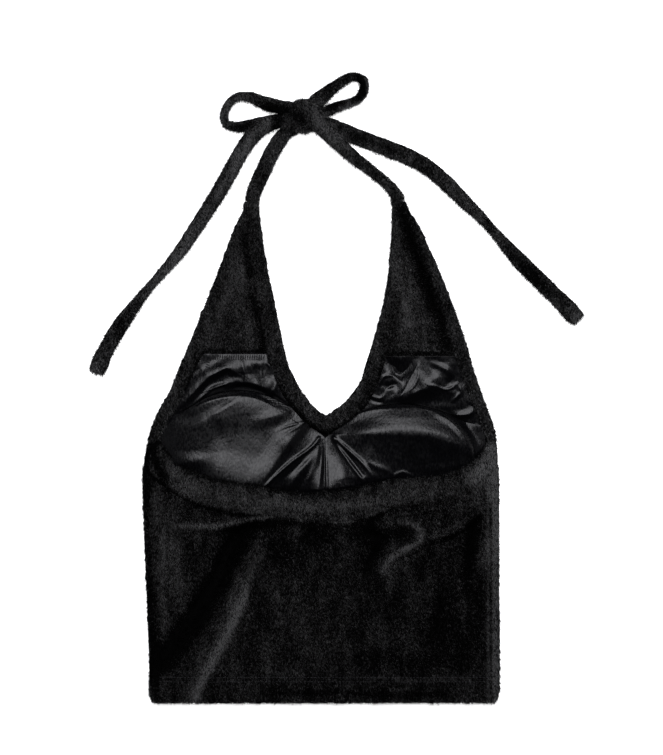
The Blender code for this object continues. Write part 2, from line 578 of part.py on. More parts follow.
# Bust cups: foam domes between the front and the satin.
for word, pad in zip(("left", "right"), PADS):
    mesh = bmesh.new()
    made = bmesh.ops.create_grid(mesh, x_segments=PAD_TURNS, y_segments=PAD_RINGS, size=0.5)
    for index, point in enumerate(made["verts"]):
        j, i = divmod(index, PAD_TURNS + 1)
        turn = 2 * math.pi * (i % PAD_TURNS) / PAD_TURNS
        share = (PAD_RINGS - j) / PAD_RINGS
        reach = pad_share((0, 0, pad[2], pad[3]), math.cos(turn), math.sin(turn))
        rim_across, rim_up = pad[0] + math.cos(turn) / reach, pad[1] + math.sin(turn) / reach
        across, up = pad[5] + (rim_across - pad[5]) * share, pad[6] + (rim_up - pad[6]) * share
        high = dome(pad, share) - PAD_SLACK * share * (1 - share) if share < 1 else PAD_RIM * 0.5
        point.co = placed(across, up, FIRST_LAYER + high)
    bmesh.ops.remove_doubles(mesh, verts=mesh.verts, dist=0.01 * MM)
    base = [edge for edge in mesh.edges if len(edge.link_faces) == 1]
    wall = bmesh.ops.extrude_edge_only(mesh, edges=base)
    for item in wall["geom"]:
        if isinstance(item, bmesh.types.BMVert):
            item.co.z = FIRST_LAYER * MM
    bmesh.ops.holes_fill(mesh, edges=[edge for edge in mesh.edges if len(edge.link_faces) == 1])
    keep(f"bust_cup_{word}", mesh, foam)

# Back: the band along its top, and the panel from that band to the hem.
cloth("back_band", [band(BACK_BAND, 48)], under_back, BINDING, binding)

top = []
for a0, u0, a1, u1 in BACK_BAND:
    if u1 <= 238.0:  # the panel lies below the band, clear of its seam
        beyond = BACK_SEAM / math.dist((a0, u0), (a1, u1))
        top.append((a1 + (a1 - a0) * beyond, u1 + (u1 - u0) * beyond))
left_side = [(at_height(LEFT_EDGE, up), up) for up in (0, EDGE, 7, 20, 50, 100, 150, 200, 230)]
right_side = [(at_height(RIGHT_EDGE, up), up) for up in (0, EDGE, 7, 50, 100, 150, 200, 230)]
hem = [left_side[0], (0.0, 0.0), right_side[0]]


def hem_and_seams(across, up):
    """What the turned hem adds, less the sunk lines of stitching."""
    added = HEM_EXTRA * smooth((HEM_HIGH - up) / 4)
    sunk = max(smooth(1 - abs(up - HEM_STITCH) / 5), smooth(1 - abs(across - SIDE_SEAM) / 3))
    return added - GROOVE * sunk


back_wide, back_high = RIGHT_SIDE - LEFT_SIDE, top[0][1]
across_stops = [LEFT_SIDE + EDGE, *np.linspace(LEFT_SIDE + 11, SIDE_SEAM - 13, 29),
                SIDE_SEAM - 3, SIDE_SEAM, SIDE_SEAM + 3, RIGHT_SIDE - EDGE]
up_stops = [EDGE, 11, HEM_STITCH - 5, HEM_STITCH, HEM_HIGH + 1, *np.linspace(40, back_high - 11, 19),
            back_high - EDGE]
columns = [0, *((across - LEFT_SIDE) / back_wide for across in across_stops), 1]
rows = [0, *(up / back_high for up in up_stops), 1]
cloth("back_panel", [patch(hem, top, [*left_side, top[0]], [*right_side, top[-1]], columns, rows)],
      under_back, PLUSH, plush, hem_and_seams)

# Ties: each wing runs into a strap, and the bow is tied in the straps' long ends.
blob("bow_knot", *KNOT, KNOT_HIGH, KNOT_SINK, 0.0, binding, garment)
room = blob("knot_room", KNOT[0], KNOT[1], KNOT[2] + SEAM * 1.3, KNOT[3] + SEAM * 1.3,
            KNOT_HIGH + SEAM * 1.3, KNOT_SINK + SEAM * 1.3, -5.0, binding, cutters)
room.hide_render = True
room.display_type = "WIRE"
for name, table in (
    ("strap_left", LEFT_STRAP), ("strap_right", RIGHT_STRAP), ("bow_loop_left", LEFT_LOOP),
    ("bow_loop_right", RIGHT_LOOP), ("tie_tail_left", LEFT_TAIL), ("tie_tail_right", RIGHT_TAIL),
):
    made = tie(name, table, binding)
    cut = made.modifiers.new("knot", "BOOLEAN")
    cut.operation, cut.object, cut.solver = "DIFFERENCE", room, "EXACT"
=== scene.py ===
"""The looks of the halter neck top: plush with its pile, satin lining, stitching, ties and stage.

Sizes are written in millimetres, and MM turns them to the metres of the meshes. A point on the
garment is given by two real sizes: across, to the right of the centre front, and up, above the
hem as it lies.
"""

import math

import bmesh
import bpy
import numpy as np
from mathutils import Matrix, Vector, noise
from mathutils.bvhtree import BVHTree


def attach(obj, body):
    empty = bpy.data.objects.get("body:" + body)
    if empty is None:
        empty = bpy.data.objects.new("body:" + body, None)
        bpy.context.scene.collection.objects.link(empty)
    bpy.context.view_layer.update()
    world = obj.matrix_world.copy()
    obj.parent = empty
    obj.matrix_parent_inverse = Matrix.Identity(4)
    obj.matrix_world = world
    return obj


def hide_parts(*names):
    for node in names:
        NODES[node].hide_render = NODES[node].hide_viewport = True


bl_info = {
    "name": "Halter Neck Top",
    "version": (1, 0, 0),
    "blender": (4, 5, 0),
    "location": "3D View > Sidebar > Halter Top",
    "description": "Dresses the halter neck top in plush, satin and stitching",
    "category": "Object",
}

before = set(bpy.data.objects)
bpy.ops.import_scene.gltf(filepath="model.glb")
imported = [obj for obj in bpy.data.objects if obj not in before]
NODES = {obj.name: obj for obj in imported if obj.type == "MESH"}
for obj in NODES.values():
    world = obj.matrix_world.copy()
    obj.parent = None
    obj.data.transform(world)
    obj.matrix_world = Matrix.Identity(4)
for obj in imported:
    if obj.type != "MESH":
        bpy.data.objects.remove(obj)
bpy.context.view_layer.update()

MM = 0.001
CENTRE_FRONT_X = -11.8  # where the centre front lies
HEM_Y = -316.06  # where the hem lies
WELD = 0.02 * MM
SHARP = math.radians(42)  # an edge that turns by more than this stays crisp
CRISP = 0.8  # how crisp, from 0 to 1

# How far a cloth is drawn in from its solid's faces, so that its pile fills the rest: on top, at
# the sides and underneath. Less than 0 moves it out.
SIDE_PILE = -0.1
PLUSH_INSET = (1.3, SIDE_PILE, 0.3)
FRONT_INSET = (0.9, SIDE_PILE, 0.8)
TIE_INSET = (0.8, SIDE_PILE, 0.6)
CUP_INSET = (0.2, 0.3, 0.0)
CLEAR_OF_FLOOR = 0.1 * MM  # the least height of any cloth or tuft

# The side of each wing, -1 or 1, and the middle of its tip, where the strap is sewn on.
WING_TIPS = ((-1, -76.6, 501.0), (1, 77.2, 501.2))
KNOT_MIDDLE = (-20.5, 586.5)
# Where pieces are sewn or tied end to end: the middle of the join, how far it reaches, and the
# way across it, or nothing where the pieces meet all round. There the cloth keeps its full length.
JOINS = (
    *(((across, up), 12.0, (0.0, 1.0)) for _, across, up in WING_TIPS),
    (KNOT_MIDDLE, 24.0, None),
)
JOIN_REACH = 1.6  # how far an end goes on past its solid
JOIN_FADE = 3.0  # how far inside a join's reach it has its full effect
END_ON = 1.5  # a face is all end where it looks across the join by 1 / END_ON or more
# Each wing narrows at its tip, towards its strap.
TIP_TAPER = 3.2  # by how much
TIP_RIM = 8.0  # how far out from the tip's middle the cloth moves by all of it
TIP_REACH = 20.0  # and how far out it ends
TAPER_START, TAPER_FULL, TAPER_END = 474.0, 500.0, 506.0  # how far up it starts, is full, ends

EDGE_WAVE = 2.0  # the size of the waves that make a cloth's edges slightly uneven
EDGE_FACING = 0.75  # an edge looks up or down by less than this
FOLD_TURN = 2.5  # a fold has its full height where a face looks up by 1 / FOLD_TURN or more

# The pile lies towards the hem. A stroke of 1 lays it over by LEAN_BY_STROKE more, and a tuft
# that lies flat stands lower by LEAN_LOWERS of its height.
PILE_WAY = (0.0, -1.0, 0.0)
LEAN_BY_STROKE = 0.6
LEAN_LIMITS = (0.04, 0.95)
LEAN_LOWERS = 0.85
LOOKS_UP = 0.6  # an upper face looks up by more than this
LOOKS_DOWN = -0.25  # and a lower face by less than this
RIM_SHADE = 0.3  # how much painted shade darkens the pile round the rim, where the cloth turns under
RIM_TURN = 1.5  # the rim's shade ends where a face looks up by 1 / RIM_TURN or more
# How each tuft differs: how far it leans its own way, how far it turns about itself in radians,
# how much lighter or darker it is, and the least and most of its length.
OWN_LEAN = 0.36
OWN_TURN = 1.1
OWN_SHADE = 0.34
OWN_LENGTH = (0.65, 1.15)
# How far clumps and drifts sweep the tufts over, and how much they vary their shade.
CLUMPS = (0.6, 3.0)
DRIFTS = (0.5, 1.1)
STRANDS = (1.15, 0.36, 1.0)  # both are about three times as long up the garment as across it
TUCKED = (0.6, 1.5)  # the least and most of a tuft's length in the patches of uneven length
NOISE_SPAN = (0.3, 0.7)  # nearly all values of a noise texture lie between these

PILE_RECORDS = ("lean", "stand", "closeness", "tone", "shade")
# The tones of the tufts, lit and shaded copies of the pile's colour: they give the random grain and
# also the painted highlights and painted shade. Each is its share of the pile's colour and the
# shade where it starts.
PILE_TONES = (
    ("black", 0.04, -9.0),
    ("dark", 0.4, 0.14),
    ("middle", 1.3, 0.38),
    ("light", 3.2, 0.64),
    ("bright", 8.0, 1.0),
)
PILE_GLEAM = 0.12  # how much a tuft gleams, by its share of the colour
MOST_GLEAM = 0.3

ABOVE_ALL = 100.0  # higher than any piece
STITCH_STRAYS = 9.0  # how far a stitch strays from its direction, in degrees
STITCH_VARIES = 0.15  # by how much of its length a stitch varies

# The places of sockets, on nodes that give several sockets one name.
MIX_SHARE, MIX_FIRST, MIX_SECOND, MIXED = 0, 6, 7, 2
LEAST_WAY, MOST_WAY, ANY_WAY = 0, 1, 0
LEAST_NUMBER, MOST_NUMBER, ANY_NUMBER = 2, 3, 1
WAVE_LENGTH = 0.314  # the length of a wave of the wave texture, in metres, at a scale of 1

# The stage, in metres but for the view, which is what the camera sees of the garment.
FLOOR_REACH = 4.0
LAMP_COLOUR = (1.0, 1.0, 1.045)  # slightly blue, which black satin mirrors
SENSOR = 36.0  # in mm, as Blender gives it
VIEW_HIGH = 755.0  # the height of the view
VIEW_MIDDLE = (6.5, 325.5)  # across and up
VIEW_LEVEL = 8.0  # how high over the floor that height is measured

# ---------------------------------------------------------------------------------------------
# Folds and creases, given one by one. A fold is its height, its half width on the left and on the
# right of its course, and its course as (across, up, share of the height there).

BACK_FOLDS = (
    (1.6, 5.0, 9.0, ((-160, 184, 0.4), (-150, 180, 0.8), (-135, 178.5, 1), (-109, 177.5, 1),
                     (-92, 180, 1), (-75, 184, 0.9), (-55, 186, 0.7), (-30, 184.5, 0.9),
                     (-5, 182.5, 1), (12, 181.5, 1), (28, 182, 0.8), (44, 187, 0.3))),
    (2.6, 9.0, 14.0, ((-60, 166, 0.2), (-66, 152, 0.8), (-77, 134, 1), (-83, 115, 1), (-88, 97, 1),
                      (-96, 79, 1), (-105, 61, 1), (-112, 48, 1), (-119, 31, 0.9), (-125, 13, 0.8),
                      (-127, 1, 0.7))),
    (-2.2, 12.0, 12.0, ((-76, 176, 0.3), (-84, 168, 0.9), (-95, 155, 1), (-102, 137, 1),
                        (-112, 117, 1), (-126, 97, 1), (-139, 81, 1), (-149, 67, 1),
                        (-159, 51, 0.9), (-167, 37, 0.5))),
    (2.2, 5.0, 9.0, ((103, 176, 0.2), (101, 171, 0.8), (97, 166, 1), (89, 160, 0.9), (80, 156, 0.8),
                     (72, 150, 0.8), (66, 140, 0.7), (60, 126, 0.5), (54, 108, 0.3),
                     (50, 92, 0.0))),
    (-1.6, 7.0, 7.0, ((36, 172, 0.1), (50, 168, 1), (58, 163, 0.8), (48, 150, 1), (43, 143, 0.6),
                      (38, 134, 0.0))),
    (1.8, 4.0, 7.0, ((88, 151, 0.2), (97, 155, 0.8), (107, 162, 1), (125, 170, 1), (137, 176, 1),
                     (149, 187, 1), (158, 194, 0.7), (166, 203, 0.2))),
    (-1.8, 7.0, 6.0, ((146, 176, 0.4), (143, 163, 1), (145, 145, 1), (147, 127, 0.9),
                      (151, 107, 0.9), (155, 92, 0.7), (157, 76, 0.1))),
    (1.0, 8.0, 8.0, ((-20, 150, 0.3), (-10, 128, 1), (-2, 104, 0.7), (2, 80, 0.2))),
    (1.0, 7.0, 9.0, ((118, 140, 0.2), (108, 112, 1), (98, 84, 1), (90, 56, 0.6), (86, 34, 0.1))),
    (0.9, 7.0, 7.0, ((-152, 160, 0.2), (-156, 130, 1), (-160, 100, 0.8), (-163, 76, 0.2))),
    (0.9, 9.0, 7.0, ((14, 70, 0.2), (30, 54, 1), (50, 44, 0.8), (74, 38, 0.3))),
    (-0.8, 8.0, 8.0, ((-58, 120, 0.2), (-66, 96, 1), (-74, 70, 0.8), (-84, 46, 0.2))),
)

# Where the pile lies over or stands up, and where its tufts are painted lighter or darker. A stroke
# is how much, its half widths and its course: more than 0 lies the pile flatter, so it catches the
# light, and paints its tufts lighter, a painted highlight; less than 0 stands it on end, so the eye
# looks down between the tufts, and paints them darker, down to black, a painted shade.
BACK_NAP_AND_PAINTED_LIGHT = (
    # the lit fold at the left and the dark hollow beside it, with a painted highlight and painted
    # shade
    (0.5, 8.0, 21.0, ((-60, 166, 0.2), (-66, 154, 0.5), (-74, 136, 0.6), (-80, 113, 0.8),
                      (-87, 92, 1), (-96, 72, 1), (-108, 49, 1), (-119, 29, 1), (-126, 12, 1),
                      (-129, 0, 1))),
    (1.1, 3.5, 8.0, ((-77, 118, 0.4), (-80, 106, 0.8), (-88, 88, 1), (-98, 68, 1), (-110, 46, 1),
                     (-120, 27, 0.8), (-127, 8, 0.5))),
    (-1.1, 19.0, 19.0, ((-70, 182, 0.3), (-80, 172, 0.7), (-93, 152, 0.9), (-105, 130, 0.9),
                        (-115, 112, 1), (-129, 86, 1), (-142, 70, 1), (-152, 57, 1),
                        (-164, 42, 0.9), (-174, 32, 0.5))),
    (0.34, 30.0, 26.0, ((-164, 196, 0.9), (-162, 176, 1), (-160, 150, 1), (-158, 126, 0.9),
                        (-160, 100, 0.5), (-166, 80, 0.4))),
    (0.85, 3.0, 4.0, ((-150, 178, 0.4), (-142, 179, 0.9), (-126, 178.5, 1), (-110, 178.5, 1),
                      (-92, 182, 1), (-73, 186, 0.9), (-45, 189, 0.8), (-6, 186, 0.8),
                      (12, 183, 0.8), (30, 183, 0.5))),
    (-0.55, 4.0, 7.0, ((-108, 172, 0.3), (-92, 175, 0.9), (-73, 179, 1), (-45, 182, 0.8),
                       (-10, 179, 0.7))),
    (-0.5, 6.0, 8.0, ((-132, 201, 0.5), (-112, 196, 1), (-92, 193, 1), (-74, 190.5, 0.6))),
    (-0.25, 26.0, 22.0, ((-50, 168, 0.6), (-44, 146, 1), (-30, 156, 1), (0, 168, 0.9),
                         (22, 172, 0.8))),
    (0.15, 22.0, 20.0, ((-52, 120, 0.5), (-40, 96, 1), (-30, 70, 1), (-20, 46, 0.6))),
    # the folds at the right
    (-0.8, 8.0, 8.0, ((82, 205, 0.4), (70, 199, 0.8), (52, 190, 1), (44, 180, 1), (50, 168, 1),
                      (52, 156, 1), (46, 145, 1), (40, 134, 0.6))),
    (-0.45, 14.0, 14.0, ((30, 174, 0.6), (48, 166, 1), (70, 170, 0.8), (84, 172, 0.4))),
    (-0.22, 14.0, 14.0, ((40, 134, 0.7), (36, 112, 1), (34, 86, 1), (34, 58, 0.4))),
    (0.2, 12.0, 12.0, ((66, 186, 0.5), (78, 184, 1), (92, 182, 0.8))),
    (0.95, 4.0, 5.5, ((74, 184, 0.2), (88, 180, 0.7), (97, 173, 1), (93, 162, 1), (78, 154, 0.9),
                      (64, 144, 0.8), (58, 130, 0.4))),
    (0.28, 5.0, 9.0, ((62, 142, 0.5), (66, 120, 1), (60, 100, 0.7), (54, 78, 0.4), (40, 56, 0.7),
                      (26, 50, 0.3))),
    (0.42, 4.0, 7.0, ((104, 167, 0.4), (112, 170, 0.9), (124, 174, 1), (136, 180, 1), (146, 188, 1),
                      (156, 196, 0.6))),
    (-0.5, 3.0, 6.0, ((106, 162, 0.3), (118, 166, 0.9), (132, 171, 1), (144, 180, 1),
                      (152, 188, 0.8))),
    (-0.8, 11.0, 14.0, ((149, 186, 0.8), (147, 172, 1), (145, 154, 1), (144, 138, 0.7),
                        (147, 118, 0.4), (151, 100, 0.4), (150, 84, 0.2))),
    (-0.25, 18.0, 16.0, ((146, 78, 0.5), (142, 60, 1), (140, 44, 0.8))),
    (0.3, 22.0, 16.0, ((140, 206, 0.5), (152, 202, 1), (160, 214, 1), (164, 226, 0.8))),
    (0.2, 14.0, 18.0, ((92, 60, 0.3), (90, 84, 1), (92, 108, 1), (104, 130, 0.6))),
    (-0.1, 40.0, 40.0, ((60, 100, 1), (104, 90, 1), (126, 60, 0.8))),
    # the edge at the left, where the cloth turns under, with painted shade
    (-0.35, 7.0, 6.0, ((-177, 232, 0.6), (-178, 180, 1), (-176, 120, 1), (-172, 60, 1),
                       (-169, 0, 1))),
    # the light edge at the right, past the seam: a painted highlight
    (1.3, 6.0, 12.0, ((170, 250, 1), (171, 200, 0.9), (171, 170, 0.8), (171, 130, 0.7),
                      (171, 80, 0.6), (171, 40, 0.7), (171, 0, 0.7))),
    (0.3, 2.2, 2.2, ((162.5, 236, 1), (162.8, 120, 0.8), (163, 60, 0.8), (163, 0, 0.7))),
    (-0.7, 2.0, 2.0, ((166.3, 240, 0.8), (166.3, 120, 0.9), (166.3, 0, 0.8))),
    (1.1, 16.0, 12.0, ((158, 222, 0.5), (165, 234, 1), (169, 250, 1))),
    # the hem
    (-0.3, 6.0, 6.0, ((-60, 12, 0.4), (-30, 10, 1), (20, 12, 0.9), (70, 8, 1), (120, 10, 0.8))),
    (-0.2, 14.0, 12.0, ((10, 42, 0.5), (50, 46, 1), (86, 42, 1), (120, 44, 0.7))),
    (0.24, 4.0, 4.0, ((20, 28, 0.5), (60, 26, 1), (100, 24, 1), (140, 26, 0.8))),
    (0.2, 6.0, 6.0, ((-60, 34, 0.6), (-44, 30, 1), (-24, 30, 0.6))),
    (-0.22, 34.0, 34.0, ((112, 150, 0.3), (112, 120, 0.9), (112, 90, 1), (110, 60, 1),
                         (106, 36, 0.5))),
)

# The binding along the back's top: pile on end with painted shade along its edges, where it lies on
# the satin and the back, and a painted highlight near the right armhole.
BAND_NAP_AND_PAINTED_LIGHT = (
    (-0.5, 4.0, 4.0, ((-166, 262, 0.8), (-157, 250.5, 1), (-145.5, 240.5, 1), (-126, 230, 1),
                      (-99, 222.8, 1), (-66, 219, 1), (-50, 214.2, 1), (-34, 211, 0.9),
                      (-15, 210.8, 0.8), (4, 211.8, 0.9), (20, 213.6, 1), (35, 218.2, 0.9),
                      (55, 222, 0.4), (95, 226, 0.3), (130, 231, 0.3), (156, 250, 0.5))),
    (-0.8, 5.0, 4.0, ((-178, 252, 0.8), (-180, 238, 1), (-176, 229, 1), (-167, 221.5, 1),
                      (-156.5, 214, 1), (-144, 206, 1), (-130, 199.5, 1), (-112, 194.6, 0.9),
                      (-94, 192.2, 0.6))),
    (-0.6, 8.0, 8.0, ((-173, 262, 0.8), (-172, 248, 1), (-168, 238, 0.9), (-160, 226, 0.7))),
    (0.15, 8.0, 8.0, ((-158, 244, 0.4), (-150, 234, 1), (-140, 224, 0.8))),
    (0.3, 9.0, 9.0, ((-150, 232, 0.4), (-130, 217, 0.7), (-104, 208, 0.7), (-60, 203, 0.8),
                     (-10, 197, 1), (40, 201, 1), (60, 207, 0.6))),
    (0.1, 12.0, 12.0, ((90, 214, 0.3), (120, 218, 0.8), (142, 226, 1))),
    (1.7, 13.0, 12.0, ((148, 224, 0.3), (160, 234, 0.8), (168, 244, 1), (171, 256, 1))),
)

WING_FOLDS = (
    (1.1, 5.0, 9.0, ((72, 468, 0.2), (74, 440, 0.8), (82, 410, 1), (92, 384, 0.8), (98, 360, 0.2))),
    (-1.0, 8.0, 8.0, ((80, 492, 0.3), (88, 458, 1), (96, 438, 1), (106, 410, 1), (116, 385, 0.9),
                      (122, 360, 0.5))),
    (0.8, 7.0, 7.0, ((-98, 440, 0.2), (-104, 412, 1), (-104, 384, 0.6), (-98, 362, 0.1))),
    (-0.7, 7.0, 7.0, ((-78, 448, 0.4), (-74, 424, 0.9), (-70, 400, 1), (-66, 380, 0.8),
                      (-66, 362, 0.2))),
)

# The wings and their bindings, laid over or on end and painted lighter or darker in the same way.
WING_NAP_AND_PAINTED_LIGHT = (
    (-0.85, 11.0, 11.0, ((79, 496, 0.7), (86, 462, 1), (94, 438, 1), (104, 410, 1), (114, 385, 0.9),
                         (122, 358, 0.8))),
    (0.3, 8.0, 8.0, ((72, 480, 0.7), (70, 450, 1), (76, 415, 0.9), (84, 380, 0.9))),
    (-0.55, 6.0, 8.0, ((-80, 468, 0.5), (-79, 446, 0.9), (-76, 438, 1), (-74, 420, 0.4),
                       (-72, 402, 1), (-69, 396, 0.9), (-66, 378, 1), (-62, 356, 0.7))),
    (0.2, 9.0, 9.0, ((-90, 450, 0.5), (-96, 420, 1), (-104, 390, 1), (-100, 366, 0.7))),
    (-0.55, 4.0, 3.0, ((-64, 352, 1), (-84, 351.5, 0.9), (-104, 352, 0.9), (-120, 352, 1),
                       (-128, 340, 0.8), (-140, 314, 0.7))),
    (-0.55, 4.0, 3.0, ((126, 350, 1), (108, 350, 1), (88, 350, 0.9), (66, 350, 1))),
    # along the neck's binding, where it lies on the satin: a painted shadow line
    (-0.9, 7.0, 5.0, ((-64, 356, 0.3), (-60, 336, 0.7), (-52, 318, 0.9), (-38, 300, 1),
                      (-22, 283, 1), (-8, 272, 1), (2, 268, 1), (12, 272, 1), (26, 282, 1),
                      (40, 294, 1), (50, 312, 0.8), (58, 336, 0.7), (63, 352, 0.3))),
    (-0.3, 8.0, 6.0, ((20, 288, 0.6), (34, 300, 1), (44, 318, 1), (50, 340, 0.6))),
)

# The ties: pile on end and painted shade where they turn under, pile laid over and painted
# highlight where they bulge.
TIE_NAP_AND_PAINTED_LIGHT = (
    (-1.0, 8.0, 7.0, ((-66, 599, 0.4), (-56, 595, 1), (-47, 593, 1), (-40, 592, 0.7))),
    (-0.7, 5.0, 5.0, ((-99, 576, 0.4), (-90, 576, 0.9), (-82, 577, 1), (-77, 579, 0.6))),
    (-0.8, 5.0, 5.0, ((-52, 592, 0.5), (-46, 585, 0.9), (-48, 577, 1), (-56, 570, 0.5))),
    (0.35, 8.0, 8.0, ((-58, 584, 0.9), (-66, 576, 0.9), (-76, 564, 1), (-86, 546, 1),
                      (-96, 528, 0.7), (-108, 508, 0.3))),
    (0.3, 6.0, 6.0, ((-70, 603, 0.4), (-82, 607, 0.9), (-92, 604, 1), (-99, 595, 1),
                     (-102, 586, 0.9))),
    (-0.5, 9.0, 9.0, ((-36, 592, 0.7), (-28, 588, 1), (-24, 581, 0.9))),
    (0.4, 9.0, 9.0, ((-16, 604, 0.4), (-12, 596, 0.9), (-9, 588, 1), (-4, 579, 1), (6, 568, 1),
                     (16, 560, 0.8), (28, 548, 0.5))),
    (-0.55, 5.0, 5.0, ((-6, 596, 0.5), (2, 594, 1), (8, 597, 0.8), (18, 601, 0.7))),
    (-0.3, 7.0, 7.0, ((4, 614, 0.6), (14, 622, 1), (24, 628, 0.6))),
    (-1.0, 4.5, 4.0, ((36, 624, 0.7), (38, 618, 1), (38, 612, 1), (35, 606, 0.5))),
    (0.8, 2.0, 4.0, ((16, 595.5, 0.5), (24, 597, 1), (32, 600, 1), (39, 604, 1), (43, 611, 0.8),
                     (44, 621, 0.5))),
    (-0.4, 6.0, 8.0, ((14, 577, 0.6), (28, 570, 1), (50, 561, 0.9), (80, 549, 0.6))),
    (-0.3, 8.0, 8.0, ((96, 538, 0.6), (104, 533, 1), (110, 528, 0.5))),
    (0.12, 7.0, 7.0, ((112, 530, 0.3), (124, 518, 0.9), (140, 503, 1), (156, 487, 0.6))),
    (0.3, 9.0, 9.0, ((-2, 580, 0.4), (15, 573, 0.7), (30, 567, 0.5), (45, 562, 0.7), (60, 556, 0.3),
                     (75, 550, 0.3), (90, 543, 0.4), (102, 536, 0))),
    (0.4, 9.0, 9.0, ((-68, 572, 0.2), (-83, 553, 0.9), (-94, 534, 0.5), (-106, 513, 0.7),
                     (-118, 493, 1.1), (-131, 473, 1.2), (-144, 453, 0.7), (-161, 433, 1),
                     (-170, 423, 0.7), (-178, 413, 0.9), (-186, 403, 0.5), (-194, 393, 0))),
    (-0.45, 9.0, 9.0, ((186, 452, 0.4), (200, 437, 1), (216, 420, 1), (228, 408, 0.3))),
    (0.4, 9.0, 9.0, ((236, 400, 0.4), (248, 388, 1), (256, 381, 1))),
    (-0.3, 8.0, 8.0, ((-184, 406, 0.4), (-196, 390, 1), (-208, 372, 0.8), (-214, 360, 0.3))),
    (0.4, 9.0, 9.0, ((-220, 350, 0.3), (-227, 338, 1), (-232, 326, 1))),
    (0.25, 8.0, 8.0, ((-128, 478, 0.4), (-142, 456, 0.9), (-156, 438, 1), (-168, 424, 0.6))),
)

# The satin above the cups: a long fold over a dark pocket on the left, a lit wedge on the right.
UPPER_CREASES = (
    (1.8, 50.0, 52.0, ((-150, 352, 1), (150, 352, 1))),
    (1.0, 10.0, 16.0, ((60, 352, 1), (130, 352, 1))),
    (1.6, 10.0, 34.0, ((88, 350, 0.3), (104, 350, 1), (130, 348, 1))),
    # left: the fold, the thin ridge under its pocket and the upright pleats beside it
    (3.2, 15.0, 6.0, ((-141, 299, 0.4), (-134, 307, 0.8), (-125, 317, 1), (-114, 327, 1),
                      (-106, 331, 1), (-97.5, 335, 1), (-90, 331, 0.7), (-85, 331, 0.4),
                      (-81, 328, 0.1))),
    (1.0, 3.5, 2.6, ((-144, 292, 0.5), (-130, 300, 0.8), (-120, 308.5, 1), (-112, 314.5, 1),
                     (-105, 317, 1), (-99, 318.5, 0.9))),
    (4.6, 37.0, 5.0, ((-99, 317.5, 0.2), (-92, 319.5, 0.5), (-85, 320.5, 0.8), (-76, 320, 1),
                      (-68, 317.5, 1), (-60, 314.5, 1), (-53, 310, 0.5))),
    (1.0, 3.5, 4.0, ((-83, 344, 0.3), (-82, 336, 1), (-79.5, 327, 1), (-79, 320, 0.5))),
    (-0.5, 4.0, 3.0, ((-74, 340, 0.2), (-71, 331, 0.7), (-70, 324, 1), (-70, 319, 0.5))),
    (1.0, 5.0, 4.5, ((-65, 341, 0.4), (-64, 332, 1), (-64, 322, 1), (-63, 315, 0.5))),
    (-0.5, 4.0, 4.0, ((-57, 336, 0.2), (-56, 328, 0.8), (-55, 321, 1), (-54, 316, 0.4))),
    (0.8, 3.0, 3.0, ((-58, 340, 0.6), (-54, 336, 1), (-53, 331, 0.5))),
    (1.0, 3.0, 3.0, ((-54, 309, 0.4), (-51, 312.5, 1), (-49, 319, 0.5))),
    # right: the wedge, the fold over the dark hollow above the cup, and the swirl beside the neck
    (5.4, 29.0, 14.0, ((70, 297, 0.1), (77, 301, 0.45), (85, 307, 0.9), (94, 312, 1),
                       (102, 314, 0.9), (110, 315, 0.6), (120, 313, 0.5), (130, 309, 0.4),
                       (138, 304, 0.3))),
    (-2.4, 12.0, 9.0, ((62, 344, 0.7), (68, 336, 1), (75, 329, 1), (82, 334, 0.9), (88, 344, 0.6))),
    (0.5, 2.4, 2.4, ((74, 304, 0.6), (80, 314, 1), (86, 325, 1), (93, 338, 0.7))),
    (0.7, 2.0, 2.0, ((84, 312, 0.5), (88, 316, 1), (92, 323, 1), (94, 331, 0.8), (94, 337, 0.4))),
    (0.8, 2.2, 2.6, ((104, 318, 0.4), (112, 316.5, 0.9), (120, 313.5, 1), (127, 315.5, 1),
                     (133, 320, 0.6))),
    (-1.0, 6.0, 6.0, ((126, 334, 0.4), (128, 326, 1), (124, 320, 0.6))),
    (1.0, 5.0, 5.0, ((104, 341, 0.3), (113, 337.5, 0.9), (122, 333, 1), (129, 327, 0.4))),
    (0.8, 3.0, 3.0, ((53, 315, 0.6), (55, 321, 1), (59, 326.5, 1), (66, 327.5, 0.9), (74, 323, 0.9),
                     (78, 318, 0.4))),
    (-1.2, 5.0, 5.0, ((58, 318, 0.5), (64, 317, 1), (70, 318.5, 0.9), (72, 314, 0.5))),
    (0.7, 2.6, 3.0, ((43, 309, 0.5), (49, 306, 1), (55, 304.5, 1), (59, 307, 0.7), (61, 313, 0.4))),
    (-0.8, 3.0, 3.0, ((45, 304, 0.5), (50, 301.5, 1), (57, 300.5, 0.8))),
    (1.2, 3.0, 3.5, ((127, 302, 0.5), (131, 305, 1), (134, 309, 0.6))),
    (1.2, 3.0, 3.0, ((132, 318, 0.4), (136, 314, 1), (137, 308, 0.4))),
    (2.0, 7.0, 4.5, ((131, 288, 0.7), (137, 287.5, 1), (144, 288.5, 0.9), (148, 291, 0.4))),
    (1.1, 2.6, 2.6, ((146, 268, 0.6), (149, 272.5, 1), (151.5, 278, 0.7))),
)

